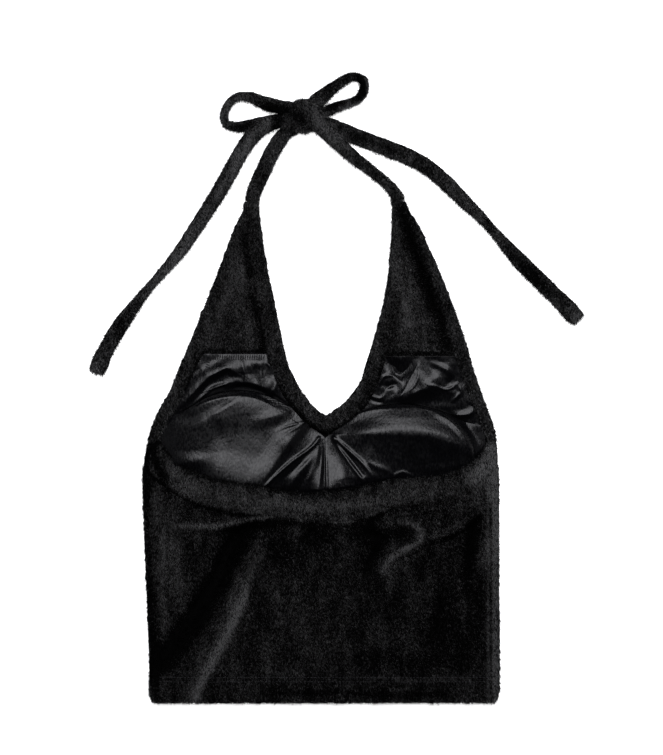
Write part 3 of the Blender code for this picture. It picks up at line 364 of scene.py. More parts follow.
# The satin over the cups: soft ripples at the sides and the gathers fanned out under the V.
CUP_CREASES = (
    # the outer part of the left cup, and the edge of its full part
    (1.5, 9.0, 48.0, ((-154, 276, 0.6), (-143, 276.5, 0.9), (-131, 278, 1), (-120, 283, 1),
                      (-110, 289, 0.8), (-100, 294, 0.2))),
    (5.0, 6.0, 85.0, ((-140, 300, 0.1), (-122, 308, 0.65), (-104, 314, 1), (-88, 316, 1),
                      (-76, 316, 0.6), (-64, 314, 0.3), (-52, 308, 0.0))),
    (1.8, 40.0, 33.0, ((-126, 275, 0.1), (-116, 280, 0.7), (-104, 285, 1), (-92, 287, 0.6),
                       (-80, 288, 0.1))),
    (2.0, 5.0, 20.0, ((-134, 297, 0.3), (-122, 303, 0.9), (-110, 307, 1), (-98, 309, 0.8),
                      (-86, 309, 0.2))),
    (2.2, 13.0, 15.0, ((-154, 241, 0.6), (-143, 240.5, 1), (-130, 241, 0.8), (-119, 242, 0.3))),
    (2.2, 36.0, 42.0, ((-158, 246, 0.5), (-146, 246, 1), (-134, 246, 0.9), (-124, 247, 0.4),
                       (-114, 248, 0))),
    (-0.6, 10.0, 12.0, ((-114, 292, 0.2), (-112, 283, 0.9), (-108, 274, 1), (-104, 266, 0.4))),
    (2.2, 30.0, 22.0, ((-98, 262, 0.0), (-101, 249, 0.5), (-106, 236, 0.9), (-113, 222, 1),
                       (-118, 212, 0.6))),
    (2.0, 34.0, 8.0, ((-106, 221, 0.4), (-96, 220, 1), (-82, 219, 1), (-66, 217, 0.8))),
    (3.2, 7.0, 40.0, ((-140, 290, 0.3), (-120, 300, 0.8), (-100, 305.5, 1), (-80, 306.5, 1),
                      (-62, 301.5, 0.9), (-48, 293, 0.4))),
    # the hollow beside the left end of the V, and the fan below it
    (1.1, 10.0, 11.0, ((-72, 281, 0.3), (-62, 283.5, 0.8), (-51, 287, 1), (-41, 290.5, 0.8))),
    (2.2, 9.0, 20.0, ((-21, 280, 0.5), (-27, 272, 0.8), (-34, 263, 1), (-42, 251, 1), (-50, 240, 1),
                      (-58, 227, 0.9), (-64, 216, 0.5))),
    (0.6, 2.4, 2.4, ((-20, 280.5, 0.8), (-28, 275.5, 1), (-37, 270.5, 0.7), (-48, 262, 0.2))),
    (0.6, 2.4, 2.4, ((-21, 281, 0.8), (-31, 278.5, 1), (-40, 276, 0.7), (-50, 271, 0.2))),
    # the bright thin fold and the softer ones beside it
    (1.9, 2.6, 2.8, ((-6, 265, 0.7), (-10, 259.5, 1), (-15, 254.5, 1), (-24, 248, 1),
                     (-33, 241.5, 1), (-42, 234, 1), (-49, 227.5, 1), (-56, 220.5, 0.9),
                     (-64, 212, 0.5))),
    (-0.9, 4.5, 4.5, ((-9, 254, 0.3), (-18, 245, 0.9), (-28, 236, 1), (-38, 228, 1),
                      (-47, 219, 0.7))),
    (1.9, 9.0, 7.0, ((-6, 262, 0.2), (-13, 247, 0.7), (-20, 237, 1), (-27, 228, 1), (-33, 219, 0.7),
                     (-38, 211, 0.1))),
    (1.2, 5.0, 4.0, ((-6, 254, 0.3), (-10, 240, 0.8), (-14, 230, 1), (-18, 221, 0.8),
                     (-20, 212, 0.2))),
    (-1.3, 4.0, 4.5, ((-3, 262, 0.3), (-3.5, 250, 1), (-4, 238, 1), (-5, 226, 1), (-6, 214, 0.6))),
    # the broad fold at the centre
    (6.5, 48.0, 7.0, ((-7, 216, 0.2), (2, 214, 0.8), (12, 214.5, 1), (22, 216, 1.1), (32, 218, 1),
                      (42, 220, 0.7), (52, 222, 0.3), (60, 223, 0))),
    (1.0, 20.0, 6.0, ((22, 224, 0.2), (32, 225, 1), (44, 226, 1), (56, 227, 0.5), (66, 228, 0.1))),
    (1.2, 3.0, 6.0, ((-1, 264, 0.4), (0, 254, 0.8), (1, 242, 1), (1.5, 228, 1), (2, 216, 0.7))),
    (1.2, 9.0, 9.0, ((6, 250, 0.1), (9, 238, 0.5), (11, 228, 1), (12, 220, 0.9), (12, 212, 0.1))),
    # the two thin folds to its right
    (1.5, 2.6, 2.6, ((8, 265, 0.6), (13, 257, 1), (20, 247, 1), (27, 237, 1), (33, 229.5, 1),
                     (39, 221, 0.7))),
    (-1.4, 2.6, 3.6, ((12, 262, 0.4), (18, 253.5, 1), (24, 246, 1), (31, 237, 0.9),
                      (38, 228, 0.6))),
    (1.9, 3.2, 3.0, ((9, 265.5, 0.7), (15, 260, 1), (22, 254, 1), (29, 248, 1), (36, 241.5, 0.9),
                     (42, 234, 0.6), (46, 228, 0.2))),
    # the right cup: its lit crescent, pinched at the V and at the armhole, and faint ripples below
    (5.2, 11.0, 34.0, ((30, 288, 0.3), (48, 293, 0.8), (70, 295, 1), (90, 295.5, 1),
                       (110, 291, 0.8), (126, 282, 0.7), (138, 268, 0.6), (146, 254, 0.3))),
    (2.4, 15.0, 42.0, ((22, 269, 0.4), (34, 269, 0.8), (50, 268.5, 1), (70, 268, 1), (100, 267, 1),
                       (118, 263, 0.8), (130, 256, 0.4))),
    (2.6, 19.0, 26.0, ((7, 267, 0.3), (20, 268, 0.6), (36, 270, 0.8), (56, 273, 0.6),
                       (84, 274, 0.6), (108, 271.5, 0.8), (124, 266.5, 1), (136, 259, 1),
                       (146, 247, 0.7))),
    (1.3, 3.0, 5.0, ((112, 289, 0.2), (124, 282.5, 0.7), (133, 274.5, 1), (140, 265.5, 1),
                     (146, 254, 1), (149, 244, 0.6))),
    (0.7, 6.0, 5.0, ((42, 240, 0.4), (50, 237, 1), (60, 233, 0.8), (70, 227, 0.3))),
    (0.9, 3.0, 3.0, ((66, 222, 0.3), (70, 228, 0.8), (78, 231, 1), (86, 227, 0.7), (90, 221, 0.2))),
    (0.7, 7.0, 6.0, ((98, 232, 0.4), (112, 234, 0.9), (128, 237, 1), (142, 240, 0.5))),
)

KNOT_GROOVES = (
    (-3.2, 2.2, 3.2, ((-36, 596, 0.8), (-29, 591, 1), (-24, 585, 1), (-20, 579, 1),
                      (-16, 572, 0.8))),
    (-2.8, 3.0, 2.0, ((-26, 602, 0.7), (-18, 598, 1), (-12, 592, 1), (-8, 585, 1), (-7, 577, 0.8))),
    (1.6, 5.0, 5.0, ((-32, 600, 0.4), (-24, 594, 1), (-17, 586, 1), (-13, 577, 0.8))),
)

# Rows of thread on a cloth: the length, width and spacing of a stitch, how far it turns from its
# row in degrees, how far it lies over the cloth, and the row.
HEM_STITCHES = (
    (2.7, 0.5, 3.5, 0.0, 1.0, ((-166, 25.6, 1), (164, 25.6, 1))),
    (2.7, 0.5, 3.5, 0.0, 1.0, ((-166, 21.4, 1), (164, 21.4, 1))),
)

OVERLOCK_STITCHES = (
    (5.6, 1.3, 2.3, 83.0, 0.3, ((-113, 346, 1), (-60, 346, 1))),
    (2.5, 0.6, 2.3, 8.0, 0.3, ((-113, 349, 1), (-60, 349, 1))),
    (2.5, 0.6, 2.3, -8.0, 0.3, ((-113, 343.2, 1), (-60, 343.2, 1))),
    (4.6, 1.0, 2.3, 83.0, 0.3, ((-118.5, 335, 1), (-116.5, 341, 1), (-114, 346, 1))),
)

# ---------------------------------------------------------------------------------------------
# Tools shared by the pieces


def linear(hex_colour):
    """The linear values of an sRGB colour such as #1a1a1c."""
    parts = [int(hex_colour[i:i + 2], 16) / 255 for i in (1, 3, 5)]
    return tuple(
        part / 12.92 if part <= 0.04045 else ((part + 0.055) / 1.055) ** 2.4 for part in parts
    )


def add(tree, kind, inputs=None, **settings):
    """Adds a node. inputs gives each socket a value, or the output that is linked to it."""
    node = tree.nodes.new(kind)
    for name, value in settings.items():
        setattr(node, name, value)
    for socket, value in (inputs or {}).items():
        if isinstance(value, bpy.types.NodeSocket):
            tree.links.new(value, node.inputs[socket])
        else:
            node.inputs[socket].default_value = value
    return node


def smooth(share):
    """A share eased at both ends, from 0 to 1."""
    share = np.clip(share, 0.0, 1.0)
    return share * share * (3 - 2 * share)


def on_garment(points):
    """The across and up, in mm, of points in metres."""
    return points[:, 0] / MM - CENTRE_FRONT_X, points[:, 1] / MM - HEM_Y


def eased(line, step=4.0):
    """A smooth curve through the points of a course, as rows about a step apart."""
    line = np.array(line, float)
    far = np.concatenate([[0], np.cumsum(np.hypot(*np.diff(line[:, :2], axis=0).T))])
    slope = np.gradient(line, far, axis=0)
    rows = []
    for place in np.linspace(0, far[-1], max(2, round(far[-1] / step) + 1)):
        k = min(max(int(np.searchsorted(far, place)) - 1, 0), len(far) - 2)
        span = far[k + 1] - far[k]
        t = (place - far[k]) / span
        rows.append(
            line[k] * (1 + 2 * t) * (1 - t) ** 2 + line[k + 1] * t * t * (3 - 2 * t)
            + span * (slope[k] * t * (1 - t) ** 2 - slope[k + 1] * t * t * (1 - t))
        )
    return np.array(rows)


def relief(table, across, up, crest=0.0):
    """The height, in mm, of a table of folds at each point. crest is 1 for sharp crests."""
    total = np.zeros_like(across)
    for high, left, right, line in table:
        rows = eased(line)
        reach = max(left, right)
        near = (across > rows[:, 0].min() - reach) & (across < rows[:, 0].max() + reach)
        near &= (up > rows[:, 1].min() - reach) & (up < rows[:, 1].max() + reach)
        a, u = across[near], up[near]
        best = np.zeros_like(a)
        for (a0, u0, s0), (a1, u1, s1) in zip(rows, rows[1:]):
            da, du = a1 - a0, u1 - u0
            along = np.clip(((a - a0) * da + (u - u0) * du) / (da * da + du * du), 0, 1)
            off_a, off_u = a - a0 - along * da, u - u0 - along * du
            wide = np.where(da * off_u - du * off_a > 0, left, right)
            share = np.clip(1 - np.hypot(off_a, off_u) / wide, 0, 1)
            form = smooth(share) * (1 - crest) + share * share * crest
            best = np.maximum(best, form * np.clip(s0 + (s1 - s0) * along, 0, None))
        total[near] += high * best
    return total


def ripple(across, up, size, seed):
    """Smooth uneven waves from -1 to 1, of a given size in mm."""
    return np.array([noise.noise(Vector((a / size, u / size, seed))) for a, u in zip(across, up)])


def new_piece(name, mesh):
    """An object with the form of a bmesh, which is freed."""
    data = bpy.data.meshes.new(name)
    mesh.to_mesh(data)
    mesh.free()
    piece = bpy.data.objects.new(name, data)
    bpy.context.scene.collection.objects.link(piece)
    return piece


def made_plain(piece):
    """Puts the result of a piece's modifiers in its mesh."""
    graph = bpy.context.evaluated_depsgraph_get()
    data = bpy.data.meshes.new_from_object(piece.evaluated_get(graph), depsgraph=graph)
    old = piece.data
    piece.modifiers.clear()
    piece.data = data
    data.name = piece.name
    bpy.data.meshes.remove(old)
    return piece


def finer(name, node, levels):
    """A finer copy of a node's mesh, rounded but for its crisp edges."""
    mesh = bmesh.new()
    mesh.from_mesh(NODES[node].data)
    bmesh.ops.remove_doubles(mesh, verts=mesh.verts, dist=WELD)
    bmesh.ops.join_triangles(
        mesh, faces=mesh.faces, angle_face_threshold=0.7, angle_shape_threshold=1.2)
    crisp = mesh.edges.layers.float.new("crease_edge")
    for edge in mesh.edges:
        if len(edge.link_faces) == 2 and edge.calc_face_angle(0.0) > SHARP:
            edge[crisp] = CRISP
    piece = new_piece(name, mesh)
    rounding = piece.modifiers.new("rounding", "SUBSURF")
    rounding.levels = rounding.render_levels = levels
    return made_plain(piece)


def read(data, what):
    """The places or normals of a mesh's points, as rows."""
    rows = np.empty(len(data.vertices) * 3)
    data.vertices.foreach_get(what, rows)
    return rows.reshape(-1, 3)


def points_of(piece):
    """The place of each of a piece's points, and the way it faces."""
    return read(piece.data, "co"), read(piece.data, "normal")


def put(piece, at):
    """Moves a piece's points to new places."""
    piece.data.vertices.foreach_set("co", at.ravel())
    piece.data.update()


def draw_in(piece, top, side, foot):
    """Moves each face of a piece inwards, by its own depth in mm for each way it looks."""
    at, facing = points_of(piece)
    across, up = on_garment(at)
    rise = facing[:, 2]
    deep = side * (1 - np.abs(rise)) + top * np.clip(rise, 0, None) + foot * np.clip(-rise, 0, None)
    for middle, reach, way in JOINS:
        off = np.column_stack([across - middle[0], up - middle[1]])
        far = np.hypot(*off.T)
        way = np.array(way) if way else off / np.maximum(far, 1e-6)[:, None]
        ends = smooth(np.abs((facing[:, :2] * way).sum(1)) * END_ON)
        meets = ends * smooth((reach - far) / JOIN_FADE)
        deep = deep * (1 - meets) - JOIN_REACH * meets
    at = at - facing * deep[:, None] * MM
    for wing, middle, _ in WING_TIPS:
        out = (across - middle) * wing
        near = (out > 0) & (out < TIP_REACH) & (up < TAPER_END)
        tapers = smooth((up - TAPER_START) / (TAPER_FULL - TAPER_START))
        at[:, 0] -= wing * TIP_TAPER * MM * tapers * smooth(out / TIP_RIM) * near
    at[:, 2] = np.maximum(at[:, 2], CLEAR_OF_FLOOR)
    put(piece, at)


def roughen(piece, high, seed):
    """Makes the edges of a cloth slightly uneven, as pile and sewing leave them."""
    at, facing = points_of(piece)
    across, up = on_garment(at)
    edge = np.where(np.abs(facing[:, 2]) < EDGE_FACING)[0]
    waves = ripple(across[edge], up[edge], EDGE_WAVE, seed)
    moved = high * waves * (1 - np.abs(facing[edge, 2])) * MM
    at[edge, :2] += facing[edge, :2] * moved[:, None]
    put(piece, at)


def fold_top(piece, table, crest, sway, sway_size, seed):
    """Raises the upper face of a piece by a table of folds and by slight uneven waves."""
    at, facing = points_of(piece)
    across, up = on_garment(at)
    rise = relief(table, across, up, crest)
    rise += sway * ripple(across, up, sway_size, seed)
    at[:, 2] += rise * smooth(facing[:, 2] * FOLD_TURN) * MM
    put(piece, at)


def hand_over(piece, material, node=None):
    """Gives a piece its material, and lets it stand for a node."""
    piece.data.materials.clear()
    piece.data.materials.append(bpy.data.materials[material])
    piece.data.polygons.foreach_set("use_smooth", [True] * len(piece.data.polygons))
    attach(piece, "root")
    if node:
        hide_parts(node)


def stitches(name, cloth, table, thread):
    """Rows of stitches on the upper face of a cloth, as a piece of its own."""
    mesh = bmesh.new()
    mesh.from_mesh(cloth.data)
    face = BVHTree.FromBMesh(mesh)
    mesh.clear()
    for long, wide, spacing, turn, over, course in table:
        rows = eased(course, spacing)
        for (a0, u0, _), (a1, u1, _) in zip(rows, rows[1:]):
            middle = ((a0 + a1) / 2 + CENTRE_FRONT_X, (u0 + u1) / 2 + HEM_Y, ABOVE_ALL)
            spot, normal, _, _ = face.ray_cast(Vector(middle) * MM, Vector((0, 0, -1)))
            if spot is None:
                raise RuntimeError(f"{name}: no cloth under a stitch at {a0:.1f}, {u0:.1f}")
            uneven = noise.noise(Vector((a0, u0, long)))
            angle = math.atan2(u1 - u0, a1 - a0) + math.radians(turn + STITCH_STRAYS * uneven)
            along = Vector((math.cos(angle), math.sin(angle), 0))
            along = (along - normal * along.dot(normal)).normalized()
            turned = Matrix((along, normal.cross(along), normal)).transposed().to_4x4()
            size = Matrix.Diagonal((long * (1 + STITCH_VARIES * uneven), wide, wide, 1 / MM)) * MM
            bmesh.ops.create_icosphere(
                mesh, subdivisions=1, radius=0.5,
                matrix=Matrix.Translation(spot + normal * over * MM) @ turned @ size)
    hand_over(new_piece(name, mesh), thread)


# ---------------------------------------------------------------------------------------------
# Pile


def record_pile(piece, nap_and_painted_light_strokes, lean, tone, over, under):
    """Writes on a cloth's points which way its pile lies, how high it stands and how close, and its
    tone: how light its tufts are painted, with the painted light and shade of the strokes and a
    painted shade round the rim. lean is from 0, upright, to 1, flat, tone is how light the piece's
    tufts are painted, from 0 for the darkest to 1 for the lightest, and over and under are the
    shares of tufts on its upper and its lower face."""
    at, facing = points_of(piece)
    across, up = on_garment(at)
    rise = facing[:, 2]
    # The strokes lay the pile over or on end, and paint light and shade on its tufts.
    nap_and_painted_light = relief(nap_and_painted_light_strokes, across, up)
    lies = np.clip(lean + LEAN_BY_STROKE * nap_and_painted_light, *LEAN_LIMITS)
    close = np.where(rise > LOOKS_UP, over, np.where(rise > LOOKS_DOWN, 1.0, under))
    # a painted shade round the rim, where the cloth turns under
    rim = RIM_SHADE * smooth(1 - RIM_TURN * rise)
    record = piece.data.attributes.new("lean", "FLOAT_VECTOR", "POINT")
    record.data.foreach_set("vector", np.outer(lies, PILE_WAY).ravel())
    for name, values in (
        ("stand", 1 - LEAN_LOWERS * lies), ("closeness", close), ("tone", tone + nap_and_painted_light - rim),
    ):
        record = piece.data.attributes.new(name, "FLOAT", "POINT")
        record.data.foreach_set("value", values)


def forget_pile(piece):
    """Removes what record_pile wrote, once the pile is made."""
    for name in PILE_RECORDS:
        if name in piece.data.attributes:
            piece.data.attributes.remove(piece.data.attributes[name])


def tuft_lean_and_shade(tree, normal):
    """The way each tuft points, up from the cloth and over by its lean, and its shade. Clumps and
    drifts sweep and mottle both, and each tuft differs a little."""
    plush = bpy.context.scene.halter_plush
    lean = add(tree, "GeometryNodeInputNamedAttribute", {"Name": "lean"}, data_type="FLOAT_VECTOR")
    stand = add(tree, "GeometryNodeInputNamedAttribute", {"Name": "stand"}, data_type="FLOAT")
    tone = add(tree, "GeometryNodeInputNamedAttribute", {"Name": "tone"}, data_type="FLOAT")
    upright = add(tree, "ShaderNodeVectorMath", {0: normal, "Scale": stand.outputs["Attribute"]},
                  operation="SCALE")
    way = add(tree, "ShaderNodeVectorMath", {0: upright.outputs[0], 1: lean.outputs["Attribute"]},
              operation="ADD")
    # The shade starts from the cloth's tone, its painted light and shade; clumps, drifts and each
    # tuft vary it at random.
    shade = tone.outputs["Attribute"]
    place = add(tree, "GeometryNodeInputPosition")
    strands = add(tree, "ShaderNodeVectorMath", {0: place.outputs[0], 1: STRANDS},
                  operation="MULTIPLY")
    for size, sweep, mottle in ((plush.clump, *CLUMPS), (plush.drift, *DRIFTS)):
        field = add(tree, "ShaderNodeTexNoise",
                    {"Vector": strands.outputs[0], "Scale": 1 / size, "Detail": 1.0})
        centred = add(tree, "ShaderNodeVectorMath",
                      {0: field.outputs["Color"], 1: (0.5, 0.5, 0.5)}, operation="SUBTRACT")
        swept = add(tree, "ShaderNodeVectorMath", {0: centred.outputs[0], "Scale": sweep * 2},
                    operation="SCALE")
        way = add(tree, "ShaderNodeVectorMath", {0: way.outputs[0], 1: swept.outputs[0]},
                  operation="ADD")
        lit = add(tree, "ShaderNodeMapRange",
                  {"Value": field.outputs["Fac"], "To Min": -mottle / 2, "To Max": mottle / 2})
        shade = add(tree, "ShaderNodeMath", {0: shade, 1: lit.outputs[0]},
                    operation="ADD").outputs[0]
    own = add(tree, "FunctionNodeRandomValue",
              {LEAST_WAY: (-OWN_LEAN,) * 3, MOST_WAY: (OWN_LEAN,) * 3, "Seed": 11},
              data_type="FLOAT_VECTOR")
    way = add(tree, "ShaderNodeVectorMath", {0: way.outputs[0], 1: own.outputs[ANY_WAY]},
              operation="ADD")
    own_shade = add(tree, "FunctionNodeRandomValue",
                    {LEAST_NUMBER: -OWN_SHADE, MOST_NUMBER: OWN_SHADE, "Seed": 14},
                    data_type="FLOAT")
    shade = add(tree, "ShaderNodeMath", {0: shade, 1: own_shade.outputs[ANY_NUMBER]},
                operation="ADD")
    return way.outputs[0], shade.outputs[0]


def tuft_turn(tree, normal, way):
    """The turn that stands each tuft along its way, more or less with its flat side out."""
    turned = add(tree, "FunctionNodeAlignRotationToVector", {"Vector": way}, axis="Z")
    faced = add(tree, "FunctionNodeAlignRotationToVector",
                {"Rotation": turned.outputs[0], "Vector": normal}, axis="X", pivot_axis="Z")
    spin = add(tree, "FunctionNodeRandomValue",
               {LEAST_NUMBER: -OWN_TURN, MOST_NUMBER: OWN_TURN, "Seed": 12}, data_type="FLOAT")
    about = add(tree, "FunctionNodeAxisAngleToRotation",
                {"Axis": (0, 0, 1), "Angle": spin.outputs[ANY_NUMBER]})
    spun = add(tree, "FunctionNodeRotateRotation",
               {"Rotation": faced.outputs[0], "Rotate By": about.outputs[0]},
               rotation_space="LOCAL")
    return spun.outputs[0]


def tuft_shape(tree):
    """One tuft: a narrow blade with its root at the origin and its tip up."""
    plush = bpy.context.scene.halter_plush
    # A triangle of radius 1 is 1.5 long and the root of 3 wide, with its centre a third of the
    # way up.
    ring = add(tree, "GeometryNodeMeshCircle", {"Vertices": 3, "Radius": 1.0}, fill_type="NGON")
    blade = add(tree, "GeometryNodeTransform",
                {"Geometry": ring.outputs[0], "Translation": (0, 0, plush.pile_length / 3),
                 "Rotation": (0, -math.pi / 2, 0),
                 "Scale": (plush.pile_length / 1.5, plush.tuft_width / math.sqrt(3), 1)})
    return blade.outputs[0]


def tuft_size(tree):
    """The size of each tuft: its own length, longer in some patches than in others."""
    plush = bpy.context.scene.halter_plush
    own = add(tree, "FunctionNodeRandomValue",
              {LEAST_NUMBER: OWN_LENGTH[0], MOST_NUMBER: OWN_LENGTH[1], "Seed": 13},
              data_type="FLOAT")
    place = add(tree, "GeometryNodeInputPosition")
    patch = add(tree, "ShaderNodeTexNoise",
                {"Vector": place.outputs[0], "Scale": 1 / plush.tuck, "Detail": 1.0})
    tucked = add(tree, "ShaderNodeMapRange",
                 {"Value": patch.outputs["Fac"], "From Min": NOISE_SPAN[0],
                  "From Max": NOISE_SPAN[1], "To Min": TUCKED[0], "To Max": TUCKED[1]})
    length = add(tree, "ShaderNodeMath", {0: own.outputs[ANY_NUMBER], 1: tucked.outputs[0]},
                 operation="MULTIPLY")
    size = add(tree, "ShaderNodeCombineXYZ", {"X": 1.0, "Y": 1.0, "Z": length.outputs[0]})
    return size.outputs[0]


def above_floor(tree, pile):
    """The pile with no tuft through the surface that the top lies on."""
    place = add(tree, "GeometryNodeInputPosition")
    apart = add(tree, "ShaderNodeSeparateXYZ", {0: place.outputs[0]})
    high = add(tree, "ShaderNodeMath", {0: apart.outputs["Z"], 1: CLEAR_OF_FLOOR},
               operation="MAXIMUM")
    kept = add(tree, "ShaderNodeCombineXYZ",
               {"X": apart.outputs["X"], "Y": apart.outputs["Y"], "Z": high.outputs[0]})
    laid = add(tree, "GeometryNodeSetPosition", {"Geometry": pile, "Position": kept.outputs[0]})
    return laid.outputs[0]


def painted_light_and_shade(tree, pile):
    """The pile with one of the copies of the velour on each tuft, lighter the higher its shade:
    painted light and shade, with the random grain.
    """
    shade = add(tree, "GeometryNodeInputNamedAttribute", {"Name": "shade"}, data_type="FLOAT")
    for word, _, starts in PILE_TONES:
        chosen = add(tree, "FunctionNodeCompare", {0: shade.outputs["Attribute"], 1: starts},
                     data_type="FLOAT", operation="GREATER_THAN")
        pile = add(tree, "GeometryNodeSetMaterial",
                   {"Geometry": pile, "Selection": chosen.outputs[0],
                    "Material": bpy.data.materials[f"polyester_velour_pile_{word}"]}).outputs[0]
    return pile


def pile_tree():
    """Geometry nodes that set a tuft on each of many points of a cloth, as its records say."""
    plush = bpy.context.scene.halter_plush
    tree = bpy.data.node_groups.new("plush_pile", "GeometryNodeTree")
    tree.interface.new_socket("Cloth", in_out="INPUT", socket_type="NodeSocketGeometry")
    tree.interface.new_socket("Seed", in_out="INPUT", socket_type="NodeSocketInt")
    tree.interface.new_socket("Pile", in_out="OUTPUT", socket_type="NodeSocketGeometry")
    given = add(tree, "NodeGroupInput")
    close = add(tree, "GeometryNodeInputNamedAttribute", {"Name": "closeness"}, data_type="FLOAT")
    density = add(tree, "ShaderNodeMath",
                  {0: close.outputs["Attribute"], 1: plush.tufts / MM ** 2}, operation="MULTIPLY")
    points = add(tree, "GeometryNodeDistributePointsOnFaces",
                 {"Mesh": given.outputs["Cloth"], "Density": density.outputs[0],
                  "Seed": given.outputs["Seed"]})
    normal = points.outputs["Normal"]
    way, shade = tuft_lean_and_shade(tree, normal)
    held = add(tree, "GeometryNodeStoreNamedAttribute",
               {"Geometry": points.outputs["Points"], "Name": "shade", "Value": shade},
               data_type="FLOAT")
    tufts = add(tree, "GeometryNodeInstanceOnPoints",
                {"Points": held.outputs[0], "Instance": tuft_shape(tree),
                 "Rotation": tuft_turn(tree, normal, way), "Scale": tuft_size(tree)})
    pile = add(tree, "GeometryNodeRealizeInstances", {0: tufts.outputs[0]})
    add(tree, "NodeGroupOutput", {"Pile": painted_light_and_shade(tree, above_floor(tree, pile.outputs[0]))})
    return tree


def grow_pile(name, cloth, seed):
    """The pile of a cloth, as a piece of its own."""
    tree = bpy.data.node_groups.get("plush_pile") or pile_tree()
    pile = bpy.data.objects.new(name, cloth.data.copy())
    bpy.context.scene.collection.objects.link(pile)
    growing = pile.modifiers.new("pile", "NODES")
    growing.node_group = tree
    growing[tree.interface.items_tree["Seed"].identifier] = seed
    made_plain(pile)
    forget_pile(pile)
    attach(pile, "root")
    return pile


def plush_piece(node, levels, seed, name=None,
                folds=(), nap_and_painted_light_strokes=(), lean=0.5, tone=0.6, over=1.0,
                under=0.0, inset=PLUSH_INSET, uneven=2.2):
    """A cloth with its pile, in place of a node. The pieces have the node's name unless another is
    given."""
    name = name or node
    cloth = finer(f"{name}_cloth", node, levels)
    draw_in(cloth, *inset)
    roughen(cloth, uneven, seed)
    if folds:
        fold_top(cloth, folds, crest=0.0, sway=0.25, sway_size=14.0, seed=seed)
    # record_pile paints light and shade on the tufts from the tone and the strokes.
    record_pile(cloth, nap_and_painted_light_strokes, lean, tone, over, under)
    pile = grow_pile(f"{name}_pile", cloth, seed)
    forget_pile(cloth)
    hand_over(cloth, "polyester_velour_ground", node)
    return cloth


# ---------------------------------------------------------------------------------------------
# Finishes


def finish(name, colour, roughness, specular=0.5):
    """Makes a material with a plain surface, and gives its node tree and its shader."""
    made = bpy.data.materials.new(name)
    made.use_nodes = True
    surface = made.node_tree.nodes["Principled BSDF"]
    surface.inputs["Base Color"].default_value = (*colour, 1.0)
    surface.inputs["Roughness"].default_value = roughness
    surface.inputs["Specular IOR Level"].default_value = specular
    return made.node_tree, surface


def velour_pile():
    """Velour: cut loops of polyester, dyed black. The ends scatter light and the sides shine a
    little, so the pile is nearly black from above with fine grey grains. It is made as copies from
    near black to light grey, which give the tufts their random grain and also painted highlights
    and painted shade."""
    plush = bpy.context.scene.halter_plush
    for word, share, _ in PILE_TONES:
        finish(f"polyester_velour_pile_{word}", [part * share for part in plush.pile_colour], 0.55,
               specular=min(MOST_GLEAM, PILE_GLEAM * share))


def velour_ground():
    """The knitted ground of the velour, which shows only between tufts, in rows of loops."""
    plush = bpy.context.scene.halter_plush
    tree, surface = finish("polyester_velour_ground", plush.ground_colour, 0.95, specular=0.05)
    place = add(tree, "ShaderNodeTexCoord")
    loops = add(tree, "ShaderNodeTexVoronoi",
                {"Vector": place.outputs["Object"], "Scale": 1 / plush.stitch})
    tone = add(tree, "ShaderNodeMix",
               {MIX_SHARE: loops.outputs["Distance"], MIX_FIRST: (*plush.ground_colour, 1.0),
                MIX_SECOND: (*[part * 0.3 for part in plush.ground_colour], 1.0)},
               data_type="RGBA")
    tree.links.new(tone.outputs[MIXED], surface.inputs["Base Color"])
    bump = add(tree, "ShaderNodeBump",
               {"Height": loops.outputs["Distance"], "Strength": 0.6, "Distance": 0.3 * MM})
    tree.links.new(bump.outputs[0], surface.inputs["Normal"])


